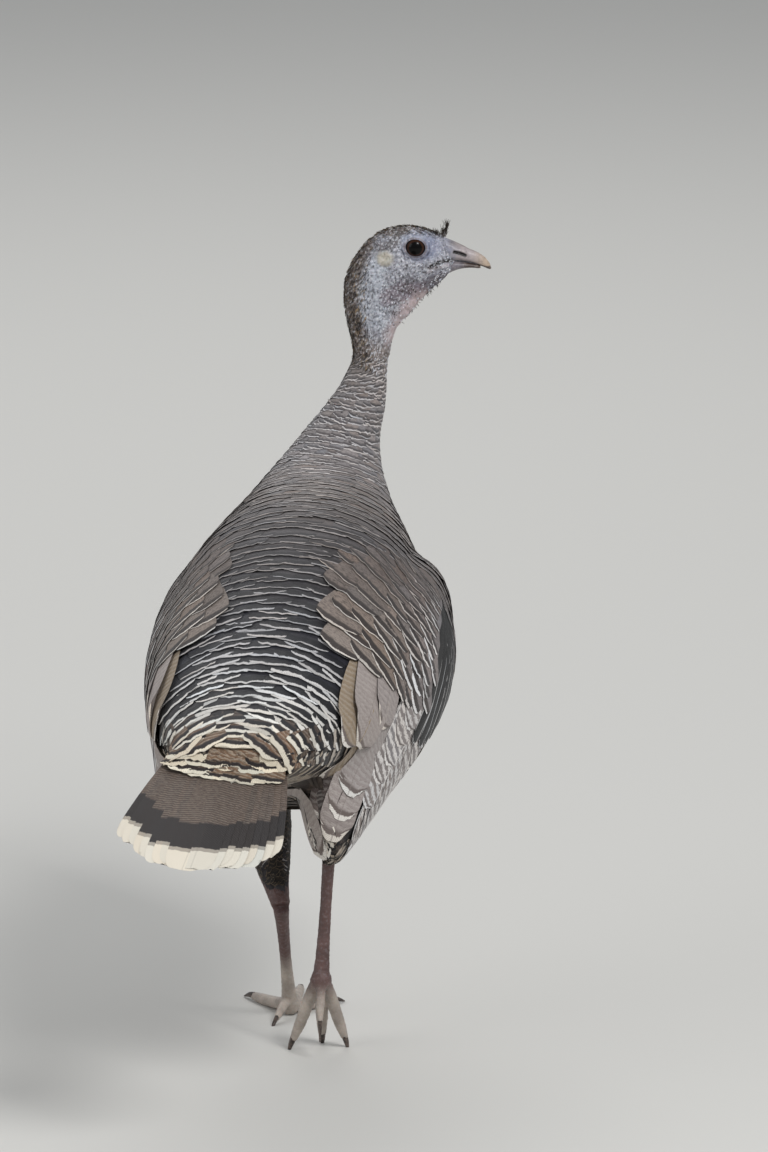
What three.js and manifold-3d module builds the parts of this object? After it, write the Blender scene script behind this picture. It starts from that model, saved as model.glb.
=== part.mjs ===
// A wild turkey hen, life size, in mid stride with her head turned to the right.
// Millimetres, +Z up, the body facing +Y, her right side on +X. The soles stand on z = 0.
import * as THREE from "three";
import { mergeVertices } from "three/addons/utils/BufferGeometryUtils.js";
import Module from "manifold-3d";

const wasm = await Module();
wasm.setup();

// ---------------------------------------------------------------- driving sizes
const GAP = 0.3; // clearance between pieces that meet
const HEAD_TURN = -81; // degrees about +Z: the bill points to her right
const NECK_TOP = [28, 206, 534]; // where the bare neck leaves the feathers
const EYE_RADIUS = 8.8;
const EYE_PLACE = { forward: 35.7, up: 82.9, aside: 9.2 }; // from NECK_TOP and the head's middle plane
const SHANK_RADIUS = 5.2;
const PAD_RADIUS = 9.5;
const CLAW_LENGTH = 13;
const TOE_BUILD = { inner: 1, middle: 1.08, outer: 1, hind: 0.72 }; // thickness beside the others
const HIND_TOE_RAISE = 5; // the hind toe springs from higher up the shank

// How finely the shapes are cut: sides around and steps along.
const MERGE_DISTANCE = 1e-4;
const TRUNK_CUT = { sides: 28, steps: 15 };
const NECK_CUT = { sides: 20, lowerSteps: 8, upperSteps: 6 };
const HEAD_CUT = { sides: 22, steps: 15 };
const BILL_CUT = { sides: 12, upperSteps: 9, lowerSteps: 6 };
const WING_CUT = { sides: 22, steps: 16 };
const PRIMARIES_CUT = { sides: 14, steps: 10 };
const TAIL_CUT = { rows: 9, columns: 12 };
const SHANK_SIDES = 10;
const DRUMSTICK_SIDES = 14;
const TOE_SIDES = 8;
const CLAW_SIDES = 6;
const STEPS_PER_JOINT = 2;
const BALL_DETAIL = 12;
const PAD_DETAIL = 9;

// ---------------------------------------------------------------- vectors and smooth tables
const radians = THREE.MathUtils.degToRad;
const vec = (x, y, z) => new THREE.Vector3(x, y, z);

// Catmull-Rom value at u, counted in rows of a table whose rows are arrays of numbers.
function row(table, u) {
  const last = table.length - 1;
  const i = Math.min(Math.floor(u), last - 1);
  const t = u - i;
  const [a, b, c, d] = [i - 1, i, i + 1, i + 2].map((k) => table[THREE.MathUtils.clamp(k, 0, last)]);
  return b.map((_, n) => {
    const slopeIn = (c[n] - a[n]) / 2;
    const slopeOut = (d[n] - b[n]) / 2;
    const bend = 2 * (b[n] - c[n]) + slopeIn + slopeOut;
    return ((bend * t + 3 * (c[n] - b[n]) - 2 * slopeIn - slopeOut) * t + slopeIn) * t + b[n];
  });
}

// ---------------------------------------------------------------- lofts
// A section is [x, y, z, pitch, turn, wide, over, under]: its centre, the way it faces, in degrees,
// and its half width and its reach to the upper and the lower side.
function ring(section, { sides, square = 1, keel = 0, grow = 0 }) {
  const [x, y, z, pitch, turn, wide, over, under] = section;
  const heading = new THREE.Euler(radians(pitch), 0, radians(turn), "ZXY");
  const side = vec(1, 0, 0).applyEuler(heading);
  const up = vec(0, 0, 1).applyEuler(heading);
  return Array.from({ length: sides }, (_, k) => {
    const angle = (2 * Math.PI * k) / sides;
    const [c, s] = [Math.cos(angle), Math.sin(angle)];
    const across = Math.sign(c) * Math.abs(c) ** square * (wide + grow) * (1 + keel * s);
    const rise = Math.sign(s) * Math.abs(s) ** square * ((s > 0 ? over : under) + grow);
    return vec(x, y, z).addScaledVector(side, across).addScaledVector(up, rise);
  });
}

// One closed skin over a list of rings, each end closed by a fan.
function skinOver(rings) {
  const sides = rings[0].length;
  const points = rings.flat();
  const middle = (r) => r.reduce((sum, p) => sum.add(p), vec(0, 0, 0)).divideScalar(sides);
  points.push(middle(rings[0]), middle(rings.at(-1)));
  const faces = [];
  const lastRing = rings.length - 1;
  for (let k = 0; k < sides; k++) {
    const next = (k + 1) % sides;
    for (let r = 0; r < lastRing; r++) {
      const [a, b, c, d] = [r * sides + k, r * sides + next, (r + 1) * sides + next, (r + 1) * sides + k];
      faces.push(a, c, b, a, d, c);
    }
    faces.push(rings.length * sides, k, next);
    faces.push(rings.length * sides + 1, lastRing * sides + next, lastRing * sides + k);
  }
  const shape = new THREE.BufferGeometry().setFromPoints(points).setIndex(faces);
  return solid(shape);
}

// Sections from u0 to u1 of a table, counted in rows.
function loft(table, u0, u1, steps, style) {
  const rings = [];
  for (let i = 0; i <= steps; i++) rings.push(ring(row(table, u0 + ((u1 - u0) * i) / steps), style));
  return skinOver(rings);
}

// ---------------------------------------------------------------- manifold-3d, which only joins and cuts
function solid(geometry) {
  const bare = geometry.clone();
  ["normal", "uv"].forEach((name) => bare.deleteAttribute(name));
  const merged = mergeVertices(bare, MERGE_DISTANCE);
  const vertProperties = Float32Array.from(merged.attributes.position.array);
  const triVerts = Uint32Array.from(merged.index.array);
  const made = new wasm.Manifold(new wasm.Mesh({ numProp: 3, vertProperties, triVerts }));
  if (made.volume() > 0) return made;
  for (let i = 0; i < triVerts.length; i += 3) {
    [triVerts[i + 1], triVerts[i + 2]] = [triVerts[i + 2], triVerts[i + 1]]; // turns the faces outwards
  }
  return new wasm.Manifold(new wasm.Mesh({ numProp: 3, vertProperties, triVerts }));
}

function geometryOf(made) {
  const { numProp, vertProperties, triVerts } = made.getMesh();
  const positions = new Float32Array((vertProperties.length / numProp) * 3);
  for (let i = 0; i * numProp < vertProperties.length; i++) {
    positions.set(vertProperties.subarray(i * numProp, i * numProp + 3), i * 3);
  }
  return new THREE.BufferGeometry()
    .setAttribute("position", new THREE.BufferAttribute(positions, 3))
    .setIndex(new THREE.BufferAttribute(triVerts, 1));
}

// The largest single body of a cut solid: slivers that a cut leaves behind are dropped.
function mainBody(made) {
  return made.decompose().reduce((best, piece) => (piece.volume() > best.volume() ? piece : best));
}

function ball(x, y, z, radius, detail = BALL_DETAIL) {
  const shape = new THREE.SphereGeometry(radius, detail, Math.round(detail * 0.6));
  return solid(shape.translate(x, y, z));
}

// Everything below the floor, to cut flats on the soles.
const BELOW_FLOOR = solid(new THREE.BoxGeometry(2000, 2000, 200).translate(0, 0, -100));

// ---------------------------------------------------------------- the model's pieces
const hen = new THREE.Group();
const MATERIALS = {
  plumage: new THREE.MeshStandardMaterial({ color: 0x6e655b, roughness: 0.75 }),
  quills: new THREE.MeshStandardMaterial({ color: 0x5b5149, roughness: 0.6 }),
  bare_skin: new THREE.MeshStandardMaterial({ color: 0x8b8f9b, roughness: 0.6 }),
  bill_horn: new THREE.MeshStandardMaterial({ color: 0x9a8478, roughness: 0.45 }),
  eye: new THREE.MeshStandardMaterial({ color: 0x1c120c, roughness: 0.1 }),
  leg_scales: new THREE.MeshStandardMaterial({ color: 0x6b4a4a, roughness: 0.55 }),
  claw_horn: new THREE.MeshStandardMaterial({ color: 0x4a3c36, roughness: 0.4 }),
};

function add(name, made, material) {
  const mesh = new THREE.Mesh(geometryOf(mainBody(made)), MATERIALS[material]);
  mesh.name = name;
  hen.add(mesh);
}

// ---------------------------------------------------------------- trunk, neck and head: one long loft
const onHead = (forward, up) => {
  const heading = radians(HEAD_TURN);
  const [x, y, z] = NECK_TOP;
  return [x - forward * Math.sin(heading), y + forward * Math.cos(heading), z + up];
};

// A section of the head between two points of its profile, each [forward, up] from NECK_TOP.
function headSection([backForward, backUp], [throatForward, throatUp], wide, turn = HEAD_TURN) {
  const [run, rise] = [backForward - throatForward, backUp - throatUp];
  const pitch = THREE.MathUtils.radToDeg(Math.atan2(-run, rise));
  const middle = onHead((backForward + throatForward) / 2, (backUp + throatUp) / 2);
  const reach = Math.hypot(run, rise) / 2;
  return [...middle, pitch, turn, wide, reach, reach];
}

const BODY = [
  // x, y, z, pitch, turn, wide, over, under
  [-2, -310, 304, 24, 0, 44, 11, 12],
  [0, -276, 305, 24, 0, 60, 26, 26],
  [1, -218, 305, 24, 0, 80, 48, 54],
  [2, -148, 306, 20, 0, 98, 77, 86],
  [2, -66, 309, 14, 0, 110, 107, 113],
  [1, 18, 318, 14, 0, 113, 121, 120],
  [-2, 92, 340, 25, 0, 98, 113, 114],
  [-4, 143, 377, 42, 0, 77, 91, 86],
  [-6, 176, 417, 58, 0, 53, 62, 50],
  [2, 191, 456, 70, 0, 34.5, 38, 30],
  [19, 199, 492, 79, -10, 23, 23, 20],
  [25.5, 204, 518, 86, -32, 15.2, 16.5, 15],
  headSection([-15, -5.5], [15.2, -3.8], 14.2, -60),
  headSection([-17.6, 10], [17.6, 8], 14.6),
  headSection([-20.8, 24], [22.5, 18.5], 15.4),
  headSection([-22.8, 38.5], [31.5, 27.5], 16.4),
  headSection([-22.4, 53], [39.2, 37.8], 17.4),
  headSection([-18, 68], [46.5, 45.5], 18),
  headSection([-8.5, 83], [53, 51.3], 17.8),
  headSection([5, 95.8], [58, 55.6], 16.8),
  headSection([21, 101], [62, 59.3], 15.4),
  headSection([37, 100.6], [65.4, 62], 13.4),
  headSection([50, 96.6], [68.2, 64.4], 10.6),
  headSection([58.5, 92.4], [70.4, 66.2], 8),
];
const NECK_BASE_ROW = 8.4; // where the neck leaves the trunk, in rows of BODY
const NECK_MIDDLE_ROW = 12;
const SKULL_ROW = 14.4;
const BROW_ROW = BODY.length - 1;
const ROW_GAP = 0.012; // the same gap as GAP, in rows of BODY

const trunkLoft = (grow) =>
  loft(BODY, 0, NECK_BASE_ROW, TRUNK_CUT.steps, { sides: TRUNK_CUT.sides, square: 0.94, grow });
const trunkSolid = trunkLoft(0);
const trunkRoom = trunkLoft(GAP);

const eyeAt = (side) => {
  const heading = radians(HEAD_TURN);
  const [x, y, z] = onHead(EYE_PLACE.forward, EYE_PLACE.up);
  const aside = side * EYE_PLACE.aside;
  return [x + aside * Math.cos(heading), y + aside * Math.sin(heading), z];
};

// ---------------------------------------------------------------- bill
const UPPER_BILL = [
  headSection([56, 93], [56, 73], 6.6),
  headSection([64, 89.8], [62, 72.8], 7),
  headSection([72, 86.2], [70, 72.8], 6.6),
  headSection([80.5, 82], [77.5, 72], 5.4),
  headSection([88.5, 78.2], [84.5, 70.2], 3.9),
  headSection([95, 73], [90.5, 67.8], 2.3),
  headSection([98.4, 65.6], [97, 65.2], 0.8),
];
const LOWER_BILL = [
  headSection([56, 71.5], [61, 60.5], 6.2),
  headSection([64, 72], [68.5, 64.5], 6),
  headSection([74, 71.4], [76, 66.4], 5),
  headSection([82.5, 69.8], [83.5, 66.6], 3.6),
  headSection([89, 67.9], [89.4, 66], 2),
];
const wholeLoft = (table, steps, style) => loft(table, 0, table.length - 1, steps, style);
const billStyle = (grow) => ({ sides: BILL_CUT.sides, square: 0.95, grow });
const upperBill = wholeLoft(UPPER_BILL, BILL_CUT.upperSteps, billStyle(0));
const upperBillRoom = wholeLoft(UPPER_BILL, BILL_CUT.upperSteps, billStyle(GAP));
const lowerBill = wholeLoft(LOWER_BILL, BILL_CUT.lowerSteps, billStyle(0)).subtract(upperBillRoom);
const lowerBillRoom = wholeLoft(LOWER_BILL, BILL_CUT.lowerSteps, billStyle(GAP));

const SNOOD = [
  [...onHead(58.6, 90), 62, HEAD_TURN, 3.2, 3.4, 3.4],
  [...onHead(60.2, 95), 66, HEAD_TURN, 2.8, 3, 3],
  [...onHead(61.6, 99), 72, HEAD_TURN, 1.6, 1.8, 1.8],
  [...onHead(62.4, 101.6), 76, HEAD_TURN, 0.6, 0.6, 0.6],
];

function addTrunkNeckAndHead() {
  const neckStyle = { sides: NECK_CUT.sides, square: 0.96 };
  const neckLength = (from, to, steps) => loft(BODY, from, to, steps, neckStyle);
  add("trunk", trunkSolid, "plumage");
  add("neck_lower", neckLength(NECK_BASE_ROW + ROW_GAP, NECK_MIDDLE_ROW, NECK_CUT.lowerSteps), "plumage");
  add("neck_upper", neckLength(NECK_MIDDLE_ROW + 2 * ROW_GAP, SKULL_ROW, NECK_CUT.upperSteps), "bare_skin");
  const headLoft = (from, grow) => {
    const style = { sides: HEAD_CUT.sides, square: 0.96, keel: 0.08, grow };
    return loft(BODY, from, BROW_ROW, HEAD_CUT.steps, style);
  };
  const sockets = [-1, 1].map((side) => ball(...eyeAt(side), EYE_RADIUS + GAP));
  const cuts = [upperBillRoom, lowerBillRoom, ...sockets];
  const head = cuts.reduce((left, cut) => left.subtract(cut), headLoft(SKULL_ROW + 2 * ROW_GAP, 0));
  add("head", head, "bare_skin");
  const snood = wholeLoft(SNOOD, 4, { sides: 8 });
  add("snood", snood.subtract(headLoft(SKULL_ROW, GAP)).subtract(upperBillRoom), "bare_skin");
  add("bill_upper", upperBill, "bill_horn");
  add("bill_lower", lowerBill, "bill_horn");
  add("eye_left", ball(...eyeAt(-1), EYE_RADIUS), "eye");
  add("eye_right", ball(...eyeAt(1), EYE_RADIUS), "eye");
}

// ---------------------------------------------------------------- wings and tail
// Sections of the folded right wing, from the wrist to the tips of the secondaries.
const WING = [
  [72, 152, 350, 24, 0, 7, 10, 12],
  [72, 126, 345, 24, 0, 26, 38, 42],
  [66, 74, 333, 20, 0, 48, 66, 66],
  [58, 0, 317, 17, 0, 61, 80, 78],
  [57, -70, 296, 19, 0, 58, 78, 72],
  [57, -130, 270, 24, 0, 41, 68, 56],
  [56, -176, 245, 29, 0, 29, 52, 38],
  [57, -207, 226, 33, 0, 19, 35, 24],
  [60, -226, 215, 36, 0, 10, 19, 14],
  [63, -235, 209, 38, 0, 3, 6, 5],
];
// The bundle of primaries below and outside them.
const PRIMARIES = [
  [94, 98, 331, 10, 6, 5, 12, 14],
  [104, 62, 324, 12, 6, 13, 29, 30],
  [108, 0, 308, 18, 1, 15, 37, 36],
  [100, -60, 284, 26, -8, 12, 35, 32],
  [82, -112, 252, 34, -14, 8, 27, 22],
  [70, -150, 228, 38, -18, 3, 12, 9],
];
const WING_SPREAD = { right: 3, left: -2 }; // her right wing hangs a little looser than the left
const onSide = (side, table) =>
  table.map(([x, y, z, pitch, turn, ...size]) => {
    const sign = side === "right" ? 1 : -1;
    return [sign * (x + WING_SPREAD[side]), y, z, pitch, sign * turn, ...size];
  });

function addWings(tailRoom) {
  for (const side of ["right", "left"]) {
    const coverts = (grow) => {
      const style = { sides: WING_CUT.sides, square: 0.86, grow };
      return wholeLoft(onSide(side, WING), WING_CUT.steps, style);
    };
    const quillStyle = { sides: PRIMARIES_CUT.sides, square: 0.9 };
    const quills = wholeLoft(onSide(side, PRIMARIES), PRIMARIES_CUT.steps, quillStyle);
    const clearOfBody = (made) => made.subtract(trunkRoom).subtract(tailRoom);
    add("wing_" + side, clearOfBody(coverts(0)), "plumage");
    add("primaries_" + side, clearOfBody(quills.subtract(coverts(GAP))), "quills");
  }
}

// The folded tail: a thin plate that widens to a rounded end.
const TAIL = {
  root: [-2, -258, 318], // hidden in the coverts
  tip: [-12, -430, 251],
  rootHalfWidth: 36,
  tipHalfWidth: 67,
  cornerShortfall: 56, // how much shorter the outermost feathers are
  arch: 2, // how far the edges hang below the middle
  roll: 5, // degrees, the left edge higher
  thickness: [11, 3.2], // at the root and at the tip
};

function tailSolid(grow) {
  const { rows, columns } = TAIL_CUT;
  const root = vec(...TAIL.root);
  const reach = vec(...TAIL.tip).sub(root);
  const along = reach.clone().normalize();
  const across = vec(1, 0, 0).applyAxisAngle(along, radians(-TAIL.roll));
  const up = across.clone().cross(along);
  const layer = (face) => {
    const points = [];
    for (let r = 0; r <= rows; r++) {
      for (let c = 0; c <= columns; c++) {
        const t = (2 * c) / columns - 1;
        const s = r / rows;
        const half = THREE.MathUtils.lerp(TAIL.rootHalfWidth, TAIL.tipHalfWidth, s) + grow;
        const length = reach.length() + grow - TAIL.cornerShortfall * Math.abs(t) ** 2.6;
        const thick = THREE.MathUtils.lerp(...TAIL.thickness, s) * (1 - 0.45 * t * t) + 2 * grow;
        points.push(
          root
            .clone()
            .addScaledVector(along, s * length)
            .addScaledVector(across, t * half)
            .addScaledVector(up, (face * thick) / 2 - TAIL.arch * t * t),
        );
      }
    }
    return points;
  };
  const points = [...layer(1), ...layer(-1)];
  const at = (face, r, c) => face * (rows + 1) * (columns + 1) + r * (columns + 1) + c;
  const faces = [];
  const quad = (a, b, c, d) => faces.push(a, b, c, a, c, d);
  for (let r = 0; r < rows; r++) {
    for (let c = 0; c < columns; c++) {
      quad(at(0, r, c), at(0, r, c + 1), at(0, r + 1, c + 1), at(0, r + 1, c));
      quad(at(1, r, c), at(1, r + 1, c), at(1, r + 1, c + 1), at(1, r, c + 1));
    }
    quad(at(0, r, 0), at(0, r + 1, 0), at(1, r + 1, 0), at(1, r, 0));
    quad(at(0, r, columns), at(1, r, columns), at(1, r + 1, columns), at(0, r + 1, columns));
  }
  for (let c = 0; c < columns; c++) {
    quad(at(0, 0, c), at(1, 0, c), at(1, 0, c + 1), at(0, 0, c + 1));
    quad(at(0, rows, c), at(0, rows, c + 1), at(1, rows, c + 1), at(1, rows, c));
  }
  return solid(new THREE.BufferGeometry().setFromPoints(points).setIndex(faces));
}

// ---------------------------------------------------------------- legs
// A limb is a loft along named joints: each is a point with the limb's half width and half depth there.
function limb(joints, sides, grow = 0) {
  const path = new THREE.CatmullRomCurve3(joints.map(({ at }) => vec(...at)), false, "centripetal");
  const sizes = joints.map(({ wide, deep }) => [wide, deep]);
  const steps = STEPS_PER_JOINT * (joints.length - 1);
  const rings = [];
  for (let i = 0; i <= steps; i++) {
    const u = i / steps;
    const [wide, deep] = row(sizes, u * (joints.length - 1));
    const heading = path.getTangent(u);
    const side = vec(1, 0, 0).addScaledVector(heading, -heading.x).normalize();
    const front = side.clone().cross(heading);
    const centre = path.getPoint(u);
    rings.push(
      Array.from({ length: sides }, (_, k) => {
        const angle = (2 * Math.PI * k) / sides;
        return centre
          .clone()
          .addScaledVector(side, (wide + grow) * Math.cos(angle))
          .addScaledVector(front, (deep + grow) * Math.sin(angle));
      }),
    );
  }
  return skinOver(rings);
}

// Each toe runs from the ball of the foot through its joints: how far out, and how high above the floor.
const LEGS = {
  left: {
    hip: [-44, 34, 258],
    knee: [-42, 38, 214],
    calf: [-28, 12, 168],
    ankle: [-20, -6, 140],
    hock: [-11, -22, 114],
    pad: [-17, 56, 9],
    toes: {
      inner: { heading: -40, reach: [20, 38, 47], rise: [5.6, 4.4, 4.2] },
      middle: { heading: 2, reach: [24, 47, 68], rise: [5.8, 4.6, 4.2] },
      outer: { heading: 44, reach: [20, 40, 54], rise: [5.6, 4.4, 4.2] },
      hind: { heading: 168, reach: [12, 24, 31], rise: [12, 7, 4] },
    },
  },
  right: {
    hip: [48, 24, 258],
    knee: [52, 34, 232],
    calf: [46, 2, 216],
    ankle: [39, -26, 201],
    hock: [34, -44, 190],
    pad: [29, -64, 64],
    toes: {
      inner: { heading: 62, reach: [12, 22, 29], rise: [46, 23, 9] },
      middle: { heading: 8, reach: [15, 29, 36], rise: [47, 25, 9] },
      outer: { heading: -29, reach: [13, 24, 31], rise: [46, 23, 9] },
      hind: { heading: 186, reach: [7, 12, 14], rise: [54, 42, 32] },
    },
  },
};

function addLeg(side, { hip, knee, calf, ankle, hock, pad, toes }) {
  const under = (f) => hock.map((h, i) => h + (pad[i] - h) * f);
  const drumstickJoints = [
    { at: hip, wide: 24, deep: 30 },
    { at: knee, wide: 26, deep: 33 },
    { at: calf, wide: 20, deep: 24 },
    { at: ankle, wide: 13.5, deep: 15 },
    { at: hock, wide: 7.6, deep: 8.6 },
  ];
  const shankJoints = [
    { at: under(0.012), wide: 7, deep: 8 },
    { at: under(0.14), wide: 5.8, deep: 6.8 },
    { at: under(0.5), wide: SHANK_RADIUS - 0.4, deep: SHANK_RADIUS },
    { at: under(0.86), wide: SHANK_RADIUS + 0.8, deep: SHANK_RADIUS + 0.4 },
    { at: under(1), wide: PAD_RADIUS - 2, deep: PAD_RADIUS - 3 },
  ];
  const drumstick = limb(drumstickJoints, DRUMSTICK_SIDES).subtract(trunkRoom);
  const drumstickRoom = limb(drumstickJoints, DRUMSTICK_SIDES, GAP);
  const padBall = (grow) => ball(...pad, PAD_RADIUS + grow, PAD_DETAIL);
  const shank = limb(shankJoints, SHANK_SIDES).subtract(drumstickRoom).subtract(padBall(GAP));
  const shankRoom = limb(shankJoints, SHANK_SIDES, GAP);
  add("drumstick_" + side, drumstick, "plumage");
  add("shank_" + side, shank, "leg_scales");
  add("ball_" + side, padBall(0).subtract(BELOW_FLOOR), "leg_scales");

  const taken = [padBall(GAP), shankRoom, BELOW_FLOOR];
  for (const [name, { heading, reach, rise }] of Object.entries(toes)) {
    const direction = vec(-Math.sin(radians(heading)), Math.cos(radians(heading)), 0);
    const at = (distance, height) => {
      const [x, y] = pad;
      return [x + direction.x * distance, y + direction.y * distance, height];
    };
    const slim = TOE_BUILD[name];
    const start = name === "hind" ? pad[2] + HIND_TOE_RAISE : pad[2] - 1;
    const joints = [
      { at: at(3, start), wide: 6 * slim, deep: 6 * slim },
      { at: at(reach[0], rise[0]), wide: 5.6 * slim, deep: 5.4 * slim },
      { at: at(reach[1], rise[1]), wide: 4.9 * slim, deep: 4.8 * slim },
      { at: at(reach[2], rise[2]), wide: 3.3 * slim, deep: 3.4 * slim },
    ];
    const tip = vec(...joints[3].at);
    const way = tip.clone().sub(vec(...joints[2].at)).normalize();
    const clawPoint = (f, drop) => {
      const point = tip.clone().addScaledVector(way, f * CLAW_LENGTH);
      return point.sub(vec(0, 0, drop)).toArray();
    };
    const clawJoints = [
      { at: clawPoint(-0.18, -0.6), wide: 2.6 * slim, deep: 2.9 * slim },
      { at: clawPoint(0.35, 0.3), wide: 2.1 * slim, deep: 2.2 * slim },
      { at: clawPoint(0.98, 3.2), wide: 0.5, deep: 0.5 },
    ];
    const clawRoom = limb(clawJoints, CLAW_SIDES, GAP);
    const toe = [clawRoom, ...taken].reduce((left, cut) => left.subtract(cut), limb(joints, TOE_SIDES));
    taken.push(limb(joints, TOE_SIDES, GAP), clawRoom);
    add(`toe_${side}_${name}`, toe, "leg_scales");
    add(`claw_${side}_${name}`, limb(clawJoints, CLAW_SIDES).subtract(BELOW_FLOOR), "claw_horn");
  }
}

// ---------------------------------------------------------------- assembly
addTrunkNeckAndHead();
const tail = tailSolid(0).subtract(trunkRoom);
const tailRoom = tailSolid(GAP);
add("tail", tail, "quills");
addWings(tailRoom);
addLeg("left", LEGS.left);
addLeg("right", LEGS.right);

// The origin lies on the floor under the middle of the model's outline.
const outline = new THREE.Box3().setFromObject(hen);
const middle = outline.getCenter(vec(0, 0, 0));
hen.position.set(-middle.x, -middle.y, -outline.min.z);

export default hen;
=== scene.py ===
# %% [markdown]
# # A wild turkey hen, life size
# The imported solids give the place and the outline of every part. This script lays a skin inside them,
# sculpts the bare head and feet, and clothes the rest in feathers, each one a thin closed vane. All
# lengths written here are millimetres until they are handed to Blender, which works in metres.

import math

import bpy
import numpy as np
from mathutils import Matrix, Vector, noise
from mathutils.bvhtree import BVHTree


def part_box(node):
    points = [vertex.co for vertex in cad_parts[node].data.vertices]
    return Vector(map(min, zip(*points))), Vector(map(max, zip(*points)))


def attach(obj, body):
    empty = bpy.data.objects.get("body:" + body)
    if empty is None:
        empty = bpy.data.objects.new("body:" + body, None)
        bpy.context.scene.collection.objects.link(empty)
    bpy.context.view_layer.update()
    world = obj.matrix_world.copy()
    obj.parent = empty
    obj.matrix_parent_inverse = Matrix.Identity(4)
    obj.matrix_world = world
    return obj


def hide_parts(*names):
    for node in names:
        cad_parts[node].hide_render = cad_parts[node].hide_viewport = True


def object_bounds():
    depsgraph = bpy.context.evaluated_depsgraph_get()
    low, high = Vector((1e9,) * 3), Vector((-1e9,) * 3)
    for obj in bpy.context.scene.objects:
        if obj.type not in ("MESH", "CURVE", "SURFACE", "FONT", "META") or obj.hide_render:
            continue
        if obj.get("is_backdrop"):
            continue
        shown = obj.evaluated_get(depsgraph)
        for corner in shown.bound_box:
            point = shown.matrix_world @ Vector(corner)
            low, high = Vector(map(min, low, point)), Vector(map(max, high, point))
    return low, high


MM = 0.001
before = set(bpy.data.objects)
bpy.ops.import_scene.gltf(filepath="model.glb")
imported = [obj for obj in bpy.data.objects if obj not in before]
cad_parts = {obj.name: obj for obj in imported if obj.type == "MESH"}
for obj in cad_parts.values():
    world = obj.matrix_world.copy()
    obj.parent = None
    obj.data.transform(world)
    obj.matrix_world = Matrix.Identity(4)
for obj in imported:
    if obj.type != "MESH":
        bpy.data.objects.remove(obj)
cad_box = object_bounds()
bpy.ops.object.select_all(action="DESELECT")
print("solids loaded:", len(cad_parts))

# %% [markdown]
# ## Where the head is
# The two eyes give a small frame of their own: forward along the bill, up, and aside towards the right
# eye. The neck, back and legs are written in a body frame whose origin lies between the hips on the
# floor, so one known point, the top of the neck, ties that frame to the solids.

# %% Head frame and body frame
EYE_FORWARD, EYE_UP = 35.7, 82.9
NECK_TOP = np.array([28.0, 206.0, 534.0])


def centre_of(node):
    low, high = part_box(node)
    return np.array((low + high) / 2) / MM


eye_middle = (centre_of("eye_left") + centre_of("eye_right")) / 2
ASIDE = centre_of("eye_right") - centre_of("eye_left")
EYE_ASIDE = np.linalg.norm(ASIDE) / 2
ASIDE = ASIDE / np.linalg.norm(ASIDE)
UP = np.array([0.0, 0.0, 1.0])
FORWARD = np.cross(UP, ASIDE)
HEAD_ORIGIN = eye_middle - EYE_FORWARD * FORWARD - EYE_UP * UP
LID_UP = EYE_UP + 2.8
SHIFT = HEAD_ORIGIN - NECK_TOP


def on_head(forward, up, aside=0.0):
    """A point, in millimetres of the shared frame, from its place on the head."""
    return HEAD_ORIGIN + forward * FORWARD + up * UP + aside * ASIDE


def head_places(points):
    """Forward, up and aside of many points given in millimetres."""
    from_origin = points - HEAD_ORIGIN
    return from_origin @ FORWARD, from_origin @ UP, from_origin @ ASIDE


def smooth(low, high, value):
    """0 below low, 1 above high, and a smooth step between them."""
    t = np.clip((value - low) / (high - low), 0.0, 1.0)
    return t * t * (3 - 2 * t)


def tone(code):
    """A colour written as six hex digits, in the linear values that Blender's sockets use."""
    parts = [int(code[i : i + 2], 16) / 255 for i in (0, 2, 4)]
    return np.array([p / 12.92 if p < 0.04045 else ((p + 0.055) / 1.055) ** 2.4 for p in parts])


print("head at", np.round(HEAD_ORIGIN, 1), "eyes", round(2 * EYE_ASIDE, 1), "mm apart")

# %% [markdown]
# ## Camera, floor and light
# A long lens from behind her and a little above, as a person sees a bird that walks away. The floor is
# plain and pale, and three big soft lamps and a pale sky leave no hard shadow.

# %% Camera, floor and light
VIEW_AZIMUTH, VIEW_ELEVATION, VIEW_DISTANCE = math.radians(9), math.radians(13), 8000.0
VIEW_RIGHT, VIEW_HEIGHT = 69.7, 375.0
PICTURE_HEIGHT_MM = 944.3
PICTURE_PIXELS = (768, 1152)
SENSOR = 36.0

look_right = np.array([math.cos(VIEW_AZIMUTH), math.sin(VIEW_AZIMUTH), 0.0])
look_ahead = np.array(
    [
        -math.sin(VIEW_AZIMUTH) * math.cos(VIEW_ELEVATION),
        math.cos(VIEW_AZIMUTH) * math.cos(VIEW_ELEVATION),
        -math.sin(VIEW_ELEVATION),
    ]
)
look_up = np.cross(look_right, look_ahead)
look_target = SHIFT + VIEW_RIGHT * look_right + VIEW_HEIGHT * look_up
camera_place = look_target - VIEW_DISTANCE * look_ahead

bpy.ops.object.camera_add(location=Vector(camera_place * MM))
camera = bpy.context.object
camera.rotation_euler = Vector(look_ahead).to_track_quat("-Z", "Y").to_euler()
camera.data.sensor_width = SENSOR
camera.data.lens = SENSOR * VIEW_DISTANCE / PICTURE_HEIGHT_MM
camera.data.clip_end = 100
bpy.context.scene.camera = camera

bpy.context.scene.view_settings.view_transform = "Standard"

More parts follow.
